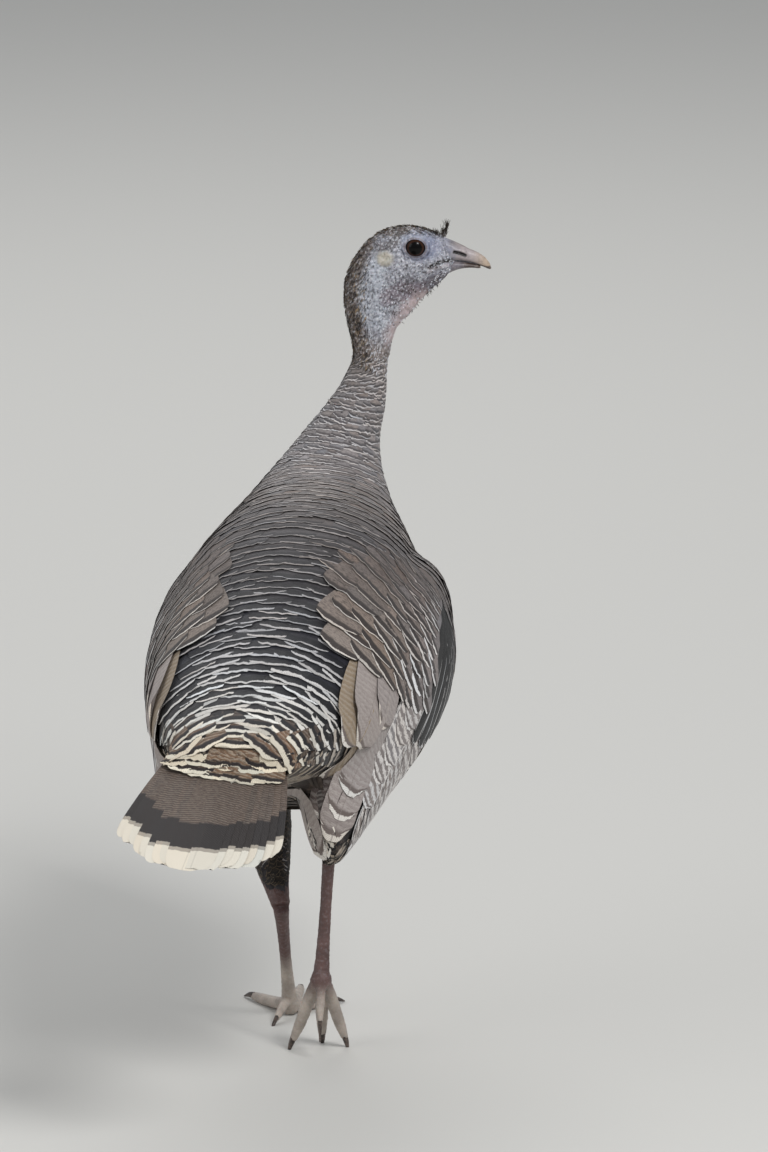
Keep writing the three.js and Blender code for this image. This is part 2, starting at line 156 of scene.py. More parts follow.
bpy.ops.mesh.primitive_plane_add(size=30)
floor = bpy.context.object
floor.name = "floor"
floor_paint = bpy.data.materials.new("pale_floor")
floor_paint.use_nodes = True
floor_paint.node_tree.nodes["Principled BSDF"].inputs["Base Color"].default_value = (0.62, 0.61, 0.58, 1)
floor_paint.node_tree.nodes["Principled BSDF"].inputs["Roughness"].default_value = 0.85
floor.data.materials.append(floor_paint)
floor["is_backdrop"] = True

LAMPS = {
    # name: place in metres, side in metres, watts
    "key": ((2.4, -2.6, 3.9), 1.5, 150),
    "fill": ((-3.4, -2.6, 2.2), 3.0, 45),
    "back": ((-0.8, 3.2, 3.2), 2.4, 50),
}
for name, (place, side, power) in LAMPS.items():
    bpy.ops.object.light_add(type="AREA", location=place)
    lamp = bpy.context.object
    lamp.name = name
    lamp.data.size = side
    lamp.data.energy = power
    lamp.rotation_euler = (Vector((0, 0, 0.35)) - Vector(place)).to_track_quat("-Z", "Y").to_euler()

sky = bpy.data.worlds.new("pale_sky")
sky.use_nodes = True
sky.node_tree.nodes["Background"].inputs["Color"].default_value = (0.93, 0.96, 1.0, 1)
sky.node_tree.nodes["Background"].inputs["Strength"].default_value = 0.42
bpy.context.scene.world = sky
print("camera at", np.round(camera_place))

# %% [markdown]
# ## Working shapes
# Feathers are planted on, and lie along, one closed form that joins the feathered solids. A voxel
# remesh welds the copies and a smooth modifier takes the facets off. The same recipe, with its own
# grain, makes the skin of the trunk, of the head and of the legs.


# %% Welded copies
def welded(name, nodes, grain, rounds, cut_below=None):
    """One smooth closed mesh from copies of some solids. grain is the voxel in millimetres."""
    bpy.ops.object.select_all(action="DESELECT")
    copies = []
    for node in nodes:
        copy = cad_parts[node].copy()
        copy.data = copy.data.copy()
        copy.parent = None
        for key in list(copy.keys()):
            del copy[key]
        bpy.context.scene.collection.objects.link(copy)
        copy.hide_render = False
        copy.hide_viewport = False
        copy.select_set(True)
        copies.append(copy)
    bpy.context.view_layer.objects.active = copies[0]
    if len(copies) > 1:
        bpy.ops.object.join()
    made = bpy.context.object
    made.name = name
    made.data.name = name
    made.data.materials.clear()
    bpy.ops.object.mode_set(mode="EDIT")
    bpy.ops.mesh.select_all(action="SELECT")
    bpy.ops.mesh.remove_doubles(threshold=1e-6)
    if cut_below is not None:
        bpy.ops.mesh.select_all(action="SELECT")
        bpy.ops.mesh.bisect(
            plane_co=(0, 0, cut_below * MM), plane_no=(0, 0, 1), use_fill=True, clear_inner=True
        )
    bpy.ops.object.mode_set(mode="OBJECT")
    remesh = made.modifiers.new("weld", "REMESH")
    remesh.mode = "VOXEL"
    remesh.voxel_size = grain * MM
    relax = made.modifiers.new("relax", "SMOOTH")
    relax.factor = 0.5
    relax.iterations = rounds
    for modifier in ("weld", "relax"):
        bpy.ops.object.modifier_apply(modifier=modifier)
    return made


def places_of(piece):
    """A mesh's vertices as an array in millimetres."""
    flat = np.empty(len(piece.data.vertices) * 3, np.float32)
    piece.data.vertices.foreach_get("co", flat)
    return flat.reshape(-1, 3).astype(float) / MM


def directions_of(piece):
    flat = np.empty(len(piece.data.vertices) * 3, np.float32)
    piece.data.vertices.foreach_get("normal", flat)
    return flat.reshape(-1, 3).astype(float)


def move_to(piece, points):
    piece.data.vertices.foreach_set("co", (points * MM).astype(np.float32).ravel())
    piece.data.update()


class Surface:
    """A mesh that can be asked for its nearest point, in millimetres, and for what a ray meets."""

    def __init__(self, piece):
        self.points = places_of(piece)
        normals = directions_of(piece)
        faces = [tuple(p.vertices) for p in piece.data.polygons]
        self.tree = BVHTree.FromPolygons([Vector(p) for p in self.points], faces)
        self.face_normals = np.array([normals[list(f)].mean(0) for f in faces])
        self.face_normals /= np.linalg.norm(self.face_normals, axis=1)[:, None]

    def nearest(self, points):
        found = [self.tree.find_nearest(Vector(p)) for p in points.reshape(-1, 3)]
        spots = np.array([f[0] for f in found]).reshape(points.shape)
        normals = self.face_normals[[f[2] for f in found]].reshape(points.shape)
        return spots, normals

    def distance(self, points):
        return np.array([self.tree.find_nearest(Vector(p))[3] for p in points.reshape(-1, 3)])

    def meet(self, start, way, reach):
        """The first point that a ray meets, or None."""
        spot, _, face, _ = self.tree.ray_cast(Vector(start), Vector(way), reach)
        return None if spot is None else (np.array(spot), self.face_normals[face])


WINGS = ["wing_left", "wing_right", "primaries_left", "primaries_right"]
DRUMSTICKS = ["drumstick_left", "drumstick_right"]
WHOLE = ["trunk", "neck_lower", "neck_upper", *WINGS, *DRUMSTICKS]
scratch_pieces = [
    welded("form", WHOLE, 4.0, 8),
    welded("tail_form", [*WHOLE, "tail"], 4.0, 8),
    welded("wing_form", WINGS, 4.0, 4),
    welded("primary_form", ["primaries_left", "primaries_right"], 3.0, 3),
    welded("leg_form", [*DRUMSTICKS, "shank_left", "shank_right"], 2.5, 4),
]
form, tail_form, wing_form, primary_form, leg_form = (Surface(piece) for piece in scratch_pieces)
print("form:", len(form.points), "points")

# %% [markdown]
# ## Skin
# Three shells of one skin: coarse under the body feathers, where it only has to be dark and lie deep
# enough, and fine on the bare head and feet. Where a shell enters the feathers it sinks under them.

# %% Skin shells
COAT_DEPTH = 8.0
HEAD_GRAIN, LEG_GRAIN, TRUNK_GRAIN = 1.15, 1.3, 6.0
NECK_CUT = 486.0

trunk_skin = welded(
    "trunk_skin", ["trunk", "neck_lower", "wing_left", "wing_right", *DRUMSTICKS], TRUNK_GRAIN, 6
)
points, normals = places_of(trunk_skin), directions_of(trunk_skin)
inner = Surface(trunk_skin)
room = []
for point, normal in zip(points, normals):
    met = inner.meet(point - normal * 0.5, -normal, 60.0)
    room.append(60.0 if met is None else np.linalg.norm(met[0] - point))
depth = np.minimum(COAT_DEPTH, 0.3 * np.array(room))
move_to(trunk_skin, points - normals * depth[:, None])

HEAD_NODES = ["neck_lower", "neck_upper", "head", "snood", "bill_upper", "bill_lower"]
head_skin = welded("head_skin", [*HEAD_NODES, "eye_left", "eye_right"], HEAD_GRAIN, 9, cut_below=NECK_CUT)

TOES = ("inner", "middle", "outer", "hind")
leg_nodes = []
for side in ("left", "right"):
    leg_nodes += [f"shank_{side}", f"ball_{side}", *[f"toe_{side}_{toe}" for toe in TOES]]
leg_skin = welded("leg_skin", [*leg_nodes, *DRUMSTICKS], LEG_GRAIN, 4)
print("skin shells:", [len(s.data.polygons) for s in (trunk_skin, head_skin, leg_skin)], "faces")

# %% [markdown]
# ## The head's relief
# The eye is a ball in a socket, and the lids are skin drawn over it, so the skin is pushed below the
# ball inside the opening, raised to a thin rim at its edge and folded once around it. Finer faces are
# needed only there. The rest is relief too: the corner of the mouth, the ear, the throat's folds and
# the grainy skin of cheek and nape.

# %% Finer faces round the eyes
EYEBALL_RADIUS = 9.9
EYEBALL_ASIDE = 7.9
OPENING = (8.3, 7.2)
OPENING_TILT = math.radians(-12)


def eye_distance(forward, up):
    """1 on the edge of the lids' opening, an oval that leans forward and down."""
    f, u = forward - EYE_FORWARD, up - LID_UP
    along = f * math.cos(OPENING_TILT) + u * math.sin(OPENING_TILT)
    across = -f * math.sin(OPENING_TILT) + u * math.cos(OPENING_TILT)
    return np.hypot(along / OPENING[0], across / OPENING[1])


def refine_near_eyes(piece, reach):
    forward, up, aside = head_places(places_of(piece))
    near = (eye_distance(forward, up) < reach) & (np.abs(aside) > 6)
    bpy.ops.object.select_all(action="DESELECT")
    bpy.context.view_layer.objects.active = piece
    piece.select_set(True)
    bpy.ops.object.mode_set(mode="EDIT")
    bpy.ops.mesh.select_all(action="DESELECT")
    bpy.ops.object.mode_set(mode="OBJECT")
    for polygon in piece.data.polygons:
        polygon.select = all(near[v] for v in polygon.vertices)
    bpy.ops.object.mode_set(mode="EDIT")
    bpy.ops.mesh.select_mode(type="FACE")
    bpy.ops.mesh.subdivide(number_cuts=1, smoothness=0)
    bpy.ops.mesh.quads_convert_to_tris()
    bpy.ops.object.mode_set(mode="OBJECT")


refine_near_eyes(head_skin, 1.75)
refine_near_eyes(head_skin, 1.4)
print("head skin:", len(head_skin.data.polygons), "faces")


# %% Head relief
def line_distance(forward, up, line):
    """Distance from a row of joined points on the head's side view."""
    best = np.full(forward.shape, 1e9)
    for (f0, u0), (f1, u1) in zip(line, line[1:]):
        run = np.array([f1 - f0, u1 - u0])
        t = np.clip(((forward - f0) * run[0] + (up - u0) * run[1]) / (run @ run), 0, 1)
        best = np.minimum(best, np.hypot(forward - f0 - t * run[0], up - u0 - t * run[1]))
    return best


def grain_noise(points, size, seed):
    """Rounded bumps about one size across, from 0 to 1."""
    offset = Vector((seed, seed * 1.7, seed * 0.3))
    return np.array([noise.voronoi(Vector(p) / size + offset)[0][0] for p in points])


def soft_noise(points, size, seed):
    offset = Vector((seed, seed * 1.7, seed * 0.3))
    return np.array([noise.noise(Vector(p) / size + offset) for p in points])


BILL_EDGE = [(57.0, 95.0), (60.5, 89.0), (60.0, 82.0), (61.0, 75.0), (59.0, 71.8), (66.0, 66.0), (61.0, 60.0)]
MOUTH_CORNER = [(46.5, 68.0), (52.0, 71.4), (56.9, 73.2), (66.0, 73.8)]
THROAT_FOLDS = [
    [(31.0, 29.0), (22.0, 40.0), (8.0, 44.0)],
    [(26.0, 22.0), (16.0, 30.0), (2.0, 33.0)],
    [(39.0, 38.0), (28.0, 48.0), (14.0, 52.0)],
]
EAR = (10.6, 76.8)


def past_bill_edge(forward, up):
    """How far in front of the line where skin gives way to horn."""
    edge = np.interp(up, [p[1] for p in BILL_EDGE[::-1]], [p[0] for p in BILL_EDGE[::-1]])
    return forward - edge


points, normals = places_of(head_skin), directions_of(head_skin)
forward, up, aside = head_places(points)
skull = smooth(50, 66, up) * (1 - smooth(54, 62, forward))
grainy = smooth(1.7, 2.3, eye_distance(forward, up)) * (1 - smooth(38, 52, forward) * smooth(62, 72, up))
bumps = 0.5 - grain_noise(points, 2.3, 3.0)
crown = smooth(92, 98, up)
relief = 0.75 * bumps * grainy * (1 - 0.5 * crown)
relief += 0.45 * soft_noise(points, 6.0, 8.0) * grainy
for fold in THROAT_FOLDS:
    relief -= 0.9 * np.exp(-((line_distance(forward, up, fold) / 1.3) ** 2)) * (1 - smooth(52, 60, up))
mouth = line_distance(forward, up, MOUTH_CORNER)
relief -= 1.8 * np.exp(-((mouth / 1.1) ** 2)) * (np.abs(aside) > 3)
relief += 0.5 * np.exp(-(((mouth - 2.0) / 1.0) ** 2)) * (np.abs(aside) > 3) * (forward < 60)
ear = np.hypot((forward - EAR[0]) / 7.0, (up - EAR[1]) / 6.5)
relief += 0.9 * (1 - smooth(0.6, 1.0, ear)) - 0.8 * np.exp(-(((ear - 1.12) / 0.12) ** 2))
horn = smooth(0.0, 2.2, past_bill_edge(forward, up)) * smooth(54, 57, forward)
under_plumage = 1 - smooth(-38, -16, up + 0.45 * (forward - 5))
points = points + normals * (relief * (1 - horn) - 1.3 * horn - 4.5 * under_plumage)[:, None]

side = np.sign(aside)
around = eye_distance(forward, up)
reach = np.hypot(forward - EYE_FORWARD, up - LID_UP)
ball = EYEBALL_ASIDE + np.sqrt(np.maximum(EYEBALL_RADIUS**2 - reach**2, 9.0))
lid_edge = EYEBALL_ASIDE + np.sqrt(EYEBALL_RADIUS**2 - np.minimum(reach, 8.4) ** 2) + 0.75
_, _, outer = head_places(points)
below = smooth(0.55, -0.5, (up - LID_UP) / np.maximum(reach, 1e-6))
fold_profile = 0.35 * np.exp(-(((around - 1.13) / 0.07) ** 2))
fold_profile -= (0.15 + 0.75 * below) * np.exp(-(((around - 1.4) / 0.07) ** 2))
fold_profile += 0.45 * below * np.exp(-(((around - 1.58) / 0.09) ** 2))
lid = lid_edge + fold_profile
blend = smooth(1.25, 1.95, around)
eye_side = np.abs(outer) > 5
lidded = (1 - blend) * lid + blend * np.abs(outer) + fold_profile * blend
inside = smooth(0.93, 1.0, around)
lidded = inside * lidded + (1 - inside) * (ball - 2.0)
near_eye = eye_side & (around < 2.0)
change = np.where(near_eye, side * lidded - outer, 0.0)
points = points + change[:, None] * ASIDE
move_to(head_skin, points)
head_surface = Surface(head_skin)
print("lids and folds shaped on", int(near_eye.sum()), "points")

# %% [markdown]
# ## Scales of the legs
# A bird's shank has broad plates down its front and back and net-like scales on its sides. Each toe
# carries short plates on top and pads below. They are pressed into the leg's mesh as low steps along
# the limb, each plate highest at its lower edge.

# %% Leg relief
LEGS = {
    # hock, ball of the foot, then each toe's heading in degrees and its reach and height
    "left": {
        "hock": (-11, -22, 114),
        "ball": (-17, 56, 9),
        "toes": {
            "inner": (-40, 47, 4),
            "middle": (2, 68, 4),
            "outer": (44, 54, 4),
            "hind": (168, 31, 4),
        },
    },
    "right": {
        "hock": (34, -44, 190),
        "ball": (29, -64, 64),
        "toes": {
            "inner": (62, 29, 9),
            "middle": (8, 36, 9),
            "outer": (-29, 31, 9),
            "hind": (186, 14, 32),
        },
    },
}
PLATE_SHANK, PLATE_TOE = 4.6, 3.4


def limb_lines():
    """Each bare length of the legs: its two ends, the way its broad plates face and their spacing."""
    for leg in LEGS.values():
        hock, ball = np.array(leg["hock"], float) + SHIFT, np.array(leg["ball"], float) + SHIFT
        yield hock, ball, np.array([0.0, 1.0, 0.0]), PLATE_SHANK
        for heading, length, height in leg["toes"].values():
            way = np.array([-math.sin(math.radians(heading)), math.cos(math.radians(heading)), 0])
            tip = ball + way * length
            tip[2] = height
            yield ball, tip, np.array([0.0, 0.0, 1.0]), PLATE_TOE


points, normals = places_of(leg_skin), directions_of(leg_skin)
best = np.full(len(points), 1e9)
plate_step = np.zeros(len(points))
plated = np.zeros(len(points))
for start, end, facing, plate in limb_lines():
    run = end - start
    length = np.linalg.norm(run)
    t = np.clip((points - start) @ run / length**2, 0, 1)
    gap = np.linalg.norm(points - start - t[:, None] * run, axis=1)
    closer = gap < best
    best[closer] = gap[closer]
    across = np.cross(run / length, facing)
    lean = (points - start) @ across
    phase = (t * length + 0.35 * np.abs(lean)) / plate
    plate_step[closer] = (phase % 1.0)[closer]
    plated[closer] = (np.abs(normals @ facing))[closer]
step = np.where(plate_step < 0.82, 0.25 + 0.75 * plate_step / 0.82, 1 - (plate_step - 0.82) / 0.18)
net = 0.5 - grain_noise(points, 2.4, 21.0)
on_plates = smooth(0.35, 0.6, plated)
lift = 0.5 * (step - 0.55) * on_plates + 0.6 * net * (1 - on_plates)
lift = np.where(points[:, 2] < 1.2, 0.0, lift)
above_hock = np.zeros(len(points))
for leg, sign in (("left", -1), ("right", 1)):
    hock, ball = (np.array(LEGS[leg][end], float) + SHIFT for end in ("hock", "ball"))
    upwards = (points - hock) @ (hock - ball) / np.linalg.norm(hock - ball)
    same_leg = (points[:, 0] - SHIFT[0] - 10) * sign > 0
    above_hock = np.where(same_leg, smooth(7, 22, upwards), above_hock)
lift = lift * (1 - above_hock) - 4.5 * above_hock
points = points + normals * lift[:, None]
points[:, 2] = np.maximum(points[:, 2], 0.02)
move_to(leg_skin, points)
print("plates pressed into", len(points), "points")


# %% [markdown]
# ## Node groups
# Both the skin and the horn need fine speckle, and every feather needs the look of barbs, so each of
# these is a group that is built once. A group gives only colours, masks and heights. The shaders stay
# in the materials.


# %% Small helpers for nodes
class Nodes:
    """Adds nodes to one tree and joins them with short calls."""

    def __init__(self, tree):
        self.tree = tree
        self.column = 0

    def add(self, kind, **settings):
        node = self.tree.nodes.new(kind)
        for key, value in settings.items():
            setattr(node, key, value)
        self.column += 1
        node.location = (self.column * 40, -self.column * 30)
        return node

    def feed(self, socket, value):
        if isinstance(value, bpy.types.NodeSocket):
            self.tree.links.new(value, socket)
        elif value is not None:
            socket.default_value = value

    def math(self, operation, a, b=None, c=None, clamp=False):
        node = self.add("ShaderNodeMath", operation=operation, use_clamp=clamp)
        for socket, value in zip(node.inputs, (a, b, c)):
            self.feed(socket, value)
        return node.outputs[0]

    def step(self, value, low, high, result=(0.0, 1.0)):
        node = self.add("ShaderNodeMapRange", interpolation_type="SMOOTHSTEP")
        for key, item in zip((0, 1, 2, 3, 4), (value, low, high, *result)):
            self.feed(node.inputs[key], item)
        return node.outputs[0]

    def mix(self, share, a, b, blend="MIX"):
        node = self.add("ShaderNodeMix", data_type="RGBA", blend_type=blend)
        for key, item in (("Factor_Float", share), ("A_Color", a), ("B_Color", b)):
            socket = next(s for s in node.inputs if s.identifier == key)
            self.feed(socket, item)
        return next(s for s in node.outputs if s.identifier == "Result_Color")

    def noise(self, place, scale, detail=2.0, roughness=0.5):
        node = self.add("ShaderNodeTexNoise")
        self.feed(node.inputs["Vector"], place)
        node.inputs["Scale"].default_value = scale
        node.inputs["Detail"].default_value = detail
        node.inputs["Roughness"].default_value = roughness
        return node.outputs[0]

    def cells(self, place, scale, feature="F1"):
        node = self.add("ShaderNodeTexVoronoi", feature=feature)
        self.feed(node.inputs["Vector"], place)
        node.inputs["Scale"].default_value = scale
        return node.outputs[0]

    def attribute(self, name, output="Color"):
        return self.add("ShaderNodeAttribute", attribute_name=name).outputs[output]

    def apart(self, vector):
        node = self.add("ShaderNodeSeparateXYZ")
        self.feed(node.inputs[0], vector)
        return node.outputs

    def together(self, x, y, z):
        node = self.add("ShaderNodeCombineXYZ")
        for socket, value in zip(node.inputs, (x, y, z)):
            self.feed(socket, value)
        return node.outputs[0]

    def group(self, tree, **values):
        node = self.add("ShaderNodeGroup")
        node.node_tree = tree
        for key, value in values.items():
            self.feed(node.inputs[key], value)
        return node.outputs


def new_group(name, inputs, outputs):
    """An empty group with the named sockets, ready to be filled."""
    tree = bpy.data.node_groups.new(name, "ShaderNodeTree")
    kinds = {"value": "NodeSocketFloat", "colour": "NodeSocketColor", "vector": "NodeSocketVector"}
    for socket, kind in inputs.items():
        tree.interface.new_socket(socket, in_out="INPUT", socket_type=kinds[kind])
    for socket, kind in outputs.items():
        tree.interface.new_socket(socket, in_out="OUTPUT", socket_type=kinds[kind])
    nodes = Nodes(tree)
    return nodes, nodes.add("NodeGroupInput").outputs, nodes.add("NodeGroupOutput").inputs


def new_material(name, roughness, **constants):
    """A material with its Principled shader's fixed values set on the sockets."""
    material = bpy.data.materials.new(name)
    material.use_nodes = True
    shader = material.node_tree.nodes["Principled BSDF"]
    shader.inputs["Roughness"].default_value = roughness
    for key, value in constants.items():
        shader.inputs[key.replace("_", " ")].default_value = value
    return material, Nodes(material.node_tree), shader


def bump_into(nodes, shader, height, distance, strength=1.0):
    bump = nodes.add("ShaderNodeBump")
    bump.inputs["Distance"].default_value = distance * MM
    bump.inputs["Strength"].default_value = strength
    nodes.feed(bump.inputs["Height"], height)
    nodes.feed(shader.inputs["Normal"], bump.outputs[0])


def paint(piece, name, colours):
    """Writes one colour for each vertex."""
    layer = piece.data.attributes.new(name, "FLOAT_COLOR", "POINT")
    full = np.ones((len(piece.data.vertices), 4), np.float32)
    full[:, : colours.shape[1]] = colours
    layer.data.foreach_set("color", full.ravel())


def write_values(piece, name, vectors):
    """Writes three values for each vertex."""
    layer = piece.data.attributes.new(name, "FLOAT_VECTOR", "POINT")
    layer.data.foreach_set("vector", vectors.astype(np.float32).ravel())


# %% [markdown]
# ## Speckle
# Bare turkey skin is sprinkled with hair-like feathers that look like light and dark flecks. The group
# makes them from one stretched noise, so their amount can change from place to place.

# %% Speckle group
nodes, given, out = new_group(
    "speckle",
    {"Ground": "colour", "Light": "colour", "Dark": "colour", "Amount": "value", "Size": "value"},
    {"Colour": "colour", "Height": "value"},
)
place = nodes.add("ShaderNodeTexCoord").outputs["Object"]
finer = nodes.add("ShaderNodeVectorMath", operation="SCALE")
nodes.feed(finer.inputs[0], place)
nodes.feed(finer.inputs["Scale"], given["Size"])
flecks = nodes.noise(finer.outputs[0], 1.0, 3.0, 0.65)
light = nodes.math("MULTIPLY", nodes.step(flecks, 0.53, 0.62), given["Amount"])
dark = nodes.math("MULTIPLY", nodes.step(flecks, 0.47, 0.38), given["Amount"])
colour = nodes.mix(light, given["Ground"], given["Light"])
nodes.feed(out["Colour"], nodes.mix(dark, colour, given["Dark"]))
nodes.feed(out["Height"], flecks)
speckle_group = nodes.tree
print("speckle group:", len(speckle_group.nodes), "nodes")

# %% [markdown]
# ## Skin colours
# Broad colours are worked out for each vertex from its place: blue-grey round the eye, a dark speckled
# crown and nape, a pinkish throat below a dark jaw, a cream ear patch, reddish-brown legs and a dull
# dark skin under the feathers. Painted shade darkens the skin under the cheek, the fold round the eye,
# the lids' opening and the mouth's corner. The speckle is laid over them in the material.


# %% Painting the skin
def blend_in(colours, share, other):
    """Moves colours towards another one by a share for each vertex."""
    share = np.clip(share, 0, 1)[:, None]
    return colours * (1 - share) + other * share


def head_colours(points):
    forward, up, aside = head_places(points)
    around = eye_distance(forward, up)
    colours = np.tile(tone("9a9ba4"), (len(points), 1))
    flecks = np.full(len(points), 0.85)
    back_line = np.interp(up, [-40, 0, 40, 80, 104], [2, -4, -8, -2, 8])
    nape = 1 - smooth(-7, 6, forward - back_line)
    colours = blend_in(colours, 0.85 * nape, tone("66564a"))
    colours = blend_in(colours, 0.75 * smooth(91, 98, up) * (1 - smooth(46, 58, forward)), tone("6d6258"))
    low_neck = 1 - smooth(-6, 22, up)
    colours = blend_in(colours, 0.7 * low_neck, tone("7d716a"))
    drift = 3.0 * soft_noise(points, 9.0, 4.0)
    band = line_distance(forward, up, [(2, 66), (-1, 46), (2, 26)]) + 1.6 * drift
    colours = blend_in(colours, 0.7 * smooth(15, 6, band), tone("b1b6c0"))
    colours = blend_in(colours, 0.6 * smooth(8, -6, up + 2 * drift), tone("7c6f66"))
    streak = line_distance(forward, up, [(6, 86), (15, 88), (24, 94)])
    colours = blend_in(colours, 0.7 * smooth(5, 2, streak), tone("57504f"))
    blue = smooth(1.0, 0.45, np.hypot((forward - 41) / 21, (up - 86) / 15))
    colours = blend_in(colours, 0.85 * blue, tone("868da6"))
    flecks *= 1 - 0.7 * blue
    brow = line_distance(forward, up, [(26, 93), (34, 97), (43, 95)])
    colours = blend_in(colours, 0.6 * smooth(4, 1.5, brow), tone("b3b9cc"))
    lores = smooth(1.0, 0.4, np.hypot((forward - 55) / 9, (up - 86) / 7))
    colours = blend_in(colours, 0.6 * lores, tone("8f90a0"))
    # Painted shade: the skin under the cheek is darkened.
    under_cheek_shade = np.hypot((forward - 30) / 15, (up - 56) / 10) + 0.05 * drift
    colours = blend_in(colours, 0.7 * smooth(1.1, 0.5, under_cheek_shade), tone("6d6b73"))
    jaw = line_distance(forward, up, [(36, 46), (48, 54), (60, 61)]) + 0.5 * drift
    colours = blend_in(colours, 0.85 * smooth(11, 4, jaw) * smooth(70, 60, up), tone("625c66"))
    purple = line_distance(forward, up, [(12, 44), (26, 49), (40, 50)]) + drift
    colours = blend_in(colours, 0.7 * smooth(10, 4, purple), tone("7d7079"))
    throat = line_distance(forward, up, [(40, 38), (30, 28), (22, 10)]) + 1.5 * drift
    colours = blend_in(colours, 0.85 * smooth(16, 5, throat), tone("c6b3b4"))
    flecks *= 1 - 0.7 * smooth(14, 6, throat)
    flecks *= 1 - 0.5 * smooth(12, 6, jaw)
    patch = np.hypot((forward - EAR[0]) / 8.2, (up - EAR[1]) / 7.2) + 0.16 * soft_noise(points, 2.5, 5.0)
    colours = blend_in(colours, 0.9 * smooth(1.15, 0.55, patch), tone("b5ae9f"))
    flecks *= 1 - 0.6 * smooth(1.2, 0.7, patch)
    colours = colours * (1 + 0.22 * soft_noise(points, 5.0, 9.0) + 0.14 * soft_noise(points, 2.2, 2.0))[:, None]
    lid = np.exp(-(((around - 1.1) / 0.1) ** 2))
    colours = blend_in(colours, 0.65 * lid, tone("7b6a64"))
    # Painted shade: the crease of the fold round the eye is darkened, most below the eye where it is deepest.
    below = smooth(4.0, -4.0, up - LID_UP)
    fold = np.exp(-(((around - 1.42) / 0.08) ** 2))
    colours = blend_in(colours, (0.25 + 0.6 * below) * fold, tone("4f5261"))
    # Painted shade: the skin inside the lids' opening, where the lid meets the ball, is near black.
    colours = blend_in(colours, smooth(1.02, 0.97, around), tone("181210"))
    # Painted shade: the groove at the corner of the mouth is near black.
    mouth = line_distance(forward, up, MOUTH_CORNER)
    colours = blend_in(colours, smooth(2.0, 0.9, mouth), tone("150e10"))
    lip = line_distance(forward, up, [(46, 65.5), (53, 68.4), (62, 70.2)])
    colours = blend_in(colours, 0.6 * smooth(2.2, 0.8, lip), tone("bfb8bd"))
    knob = smooth(7.5, 5.0, np.hypot(forward - 60, up - 99))
    colours = blend_in(colours, knob, tone("4a3a2c"))
    return colours, np.clip(flecks, 0, 1)


def leg_colours(points):
    height = points[:, 2]
    colours = np.tile(tone("5d4541"), (len(points), 1))
    colours = blend_in(colours, 0.7 * smooth(150, 190, height), tone("3a2e28"))
    colours = blend_in(colours, 0.9 * smooth(66, 44, height), tone("b3a89d"))
    colours = colours * (1 + 0.3 * soft_noise(points, 9.0, 3.0))[:, None]
    return colours, np.full(len(points), 0.1)


DOWN = tone("2b2523")
for piece in (trunk_skin, head_skin, leg_skin):
    points = places_of(piece)
    if piece == head_skin:
        colours, flecks = head_colours(points)
    elif piece == leg_skin:
        colours, flecks = leg_colours(points)
    else:
        colours, flecks = np.tile(DOWN, (len(points), 1)), np.zeros(len(points))
    paint(piece, "tint", colours)
    bare = 0.0 if piece == trunk_skin else (1.0 if piece == head_skin else 0.5)
    write_values(piece, "skin", np.stack([flecks, np.full(len(points), bare), flecks * 0], 1))

bpy.ops.object.select_all(action="DESELECT")
for piece in (leg_skin, head_skin, trunk_skin):
    piece.select_set(True)
bpy.context.view_layer.objects.active = trunk_skin
bpy.ops.object.join()
skin = bpy.context.object
skin.name = "skin"
skin.data.name = "skin"
bpy.ops.object.shade_smooth()

# %% Skin material
material, nodes, shader = new_material("bare_skin", 0.55, Subsurface_Weight=0.06, Subsurface_Scale=0.003)
tint = nodes.attribute("tint")
amount, bare, _ = nodes.apart(nodes.attribute("skin", "Vector"))
place = nodes.add("ShaderNodeTexCoord").outputs["Object"]
light_tone = nodes.mix(0.62, tint, (*tone("e3e4ea"), 1))
dark_tone = nodes.mix(0.72, tint, (*tone("231d1c"), 1))
speckled = nodes.group(
    speckle_group, Ground=tint, Light=light_tone, Dark=dark_tone, Amount=amount, Size=430.0
)
patchy = nodes.noise(place, 90.0, 3.0)
shaded = nodes.mix(nodes.step(patchy, 0.35, 0.7, (0.0, 0.22)), speckled["Colour"], (*tone("3a3334"), 1))
nodes.feed(shader.inputs["Base Color"], shaded)
pores = nodes.cells(place, 900.0)
creases = nodes.noise(place, 420.0, 4.0, 0.6)
height = nodes.math("ADD", nodes.math("MULTIPLY", pores, 0.6), creases)
height = nodes.math("ADD", height, nodes.math("MULTIPLY", speckled["Height"], amount))
bump_into(nodes, shader, height, 0.5, 0.7)
nodes.feed(shader.inputs["Roughness"], nodes.step(creases, 0.3, 0.7, (0.42, 0.66)))
skin.data.materials.append(material)
FLESH = ["trunk", "neck_lower", "neck_upper", "head", "snood", "wing_left", "wing_right", *DRUMSTICKS]
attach(skin, "root")
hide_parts(*FLESH, *leg_nodes)
print("skin:", len(skin.data.polygons), "faces")

# %% [markdown]
# ## Eyes
# A bird's eye shows the clear cornea standing proud of the ball, a thin brown iris and a wide pupil.
# A sphere is pulled out over the iris and given a glossy coat. Its rings are painted by their angle
# from the way the eye looks.

# %% Eyes
EYE_RINGS, EYE_SEGMENTS = 40, 56
CORNEA_RISE = 0.55
eye_material, nodes, shader = new_material(
    "wet_eye", 0.3, Coat_Weight=0.9, Coat_Roughness=0.02, Coat_IOR=1.22, Specular_IOR_Level=0.05
)
gaze, _, _ = nodes.apart(nodes.attribute("gaze", "Vector"))
place = nodes.add("ShaderNodeTexCoord").outputs["Object"]
streaks = nodes.noise(place, 1400.0, 3.0)
iris = nodes.mix(streaks, (*tone("21130d"), 1), (*tone("412617"), 1))
colour = nodes.mix(nodes.step(gaze, 0.50, 0.62), (*tone("030202"), 1), iris)
colour = nodes.mix(nodes.step(gaze, 0.70, 0.84), colour, (*tone("110b09"), 1))
nodes.feed(shader.inputs["Base Color"], colour)

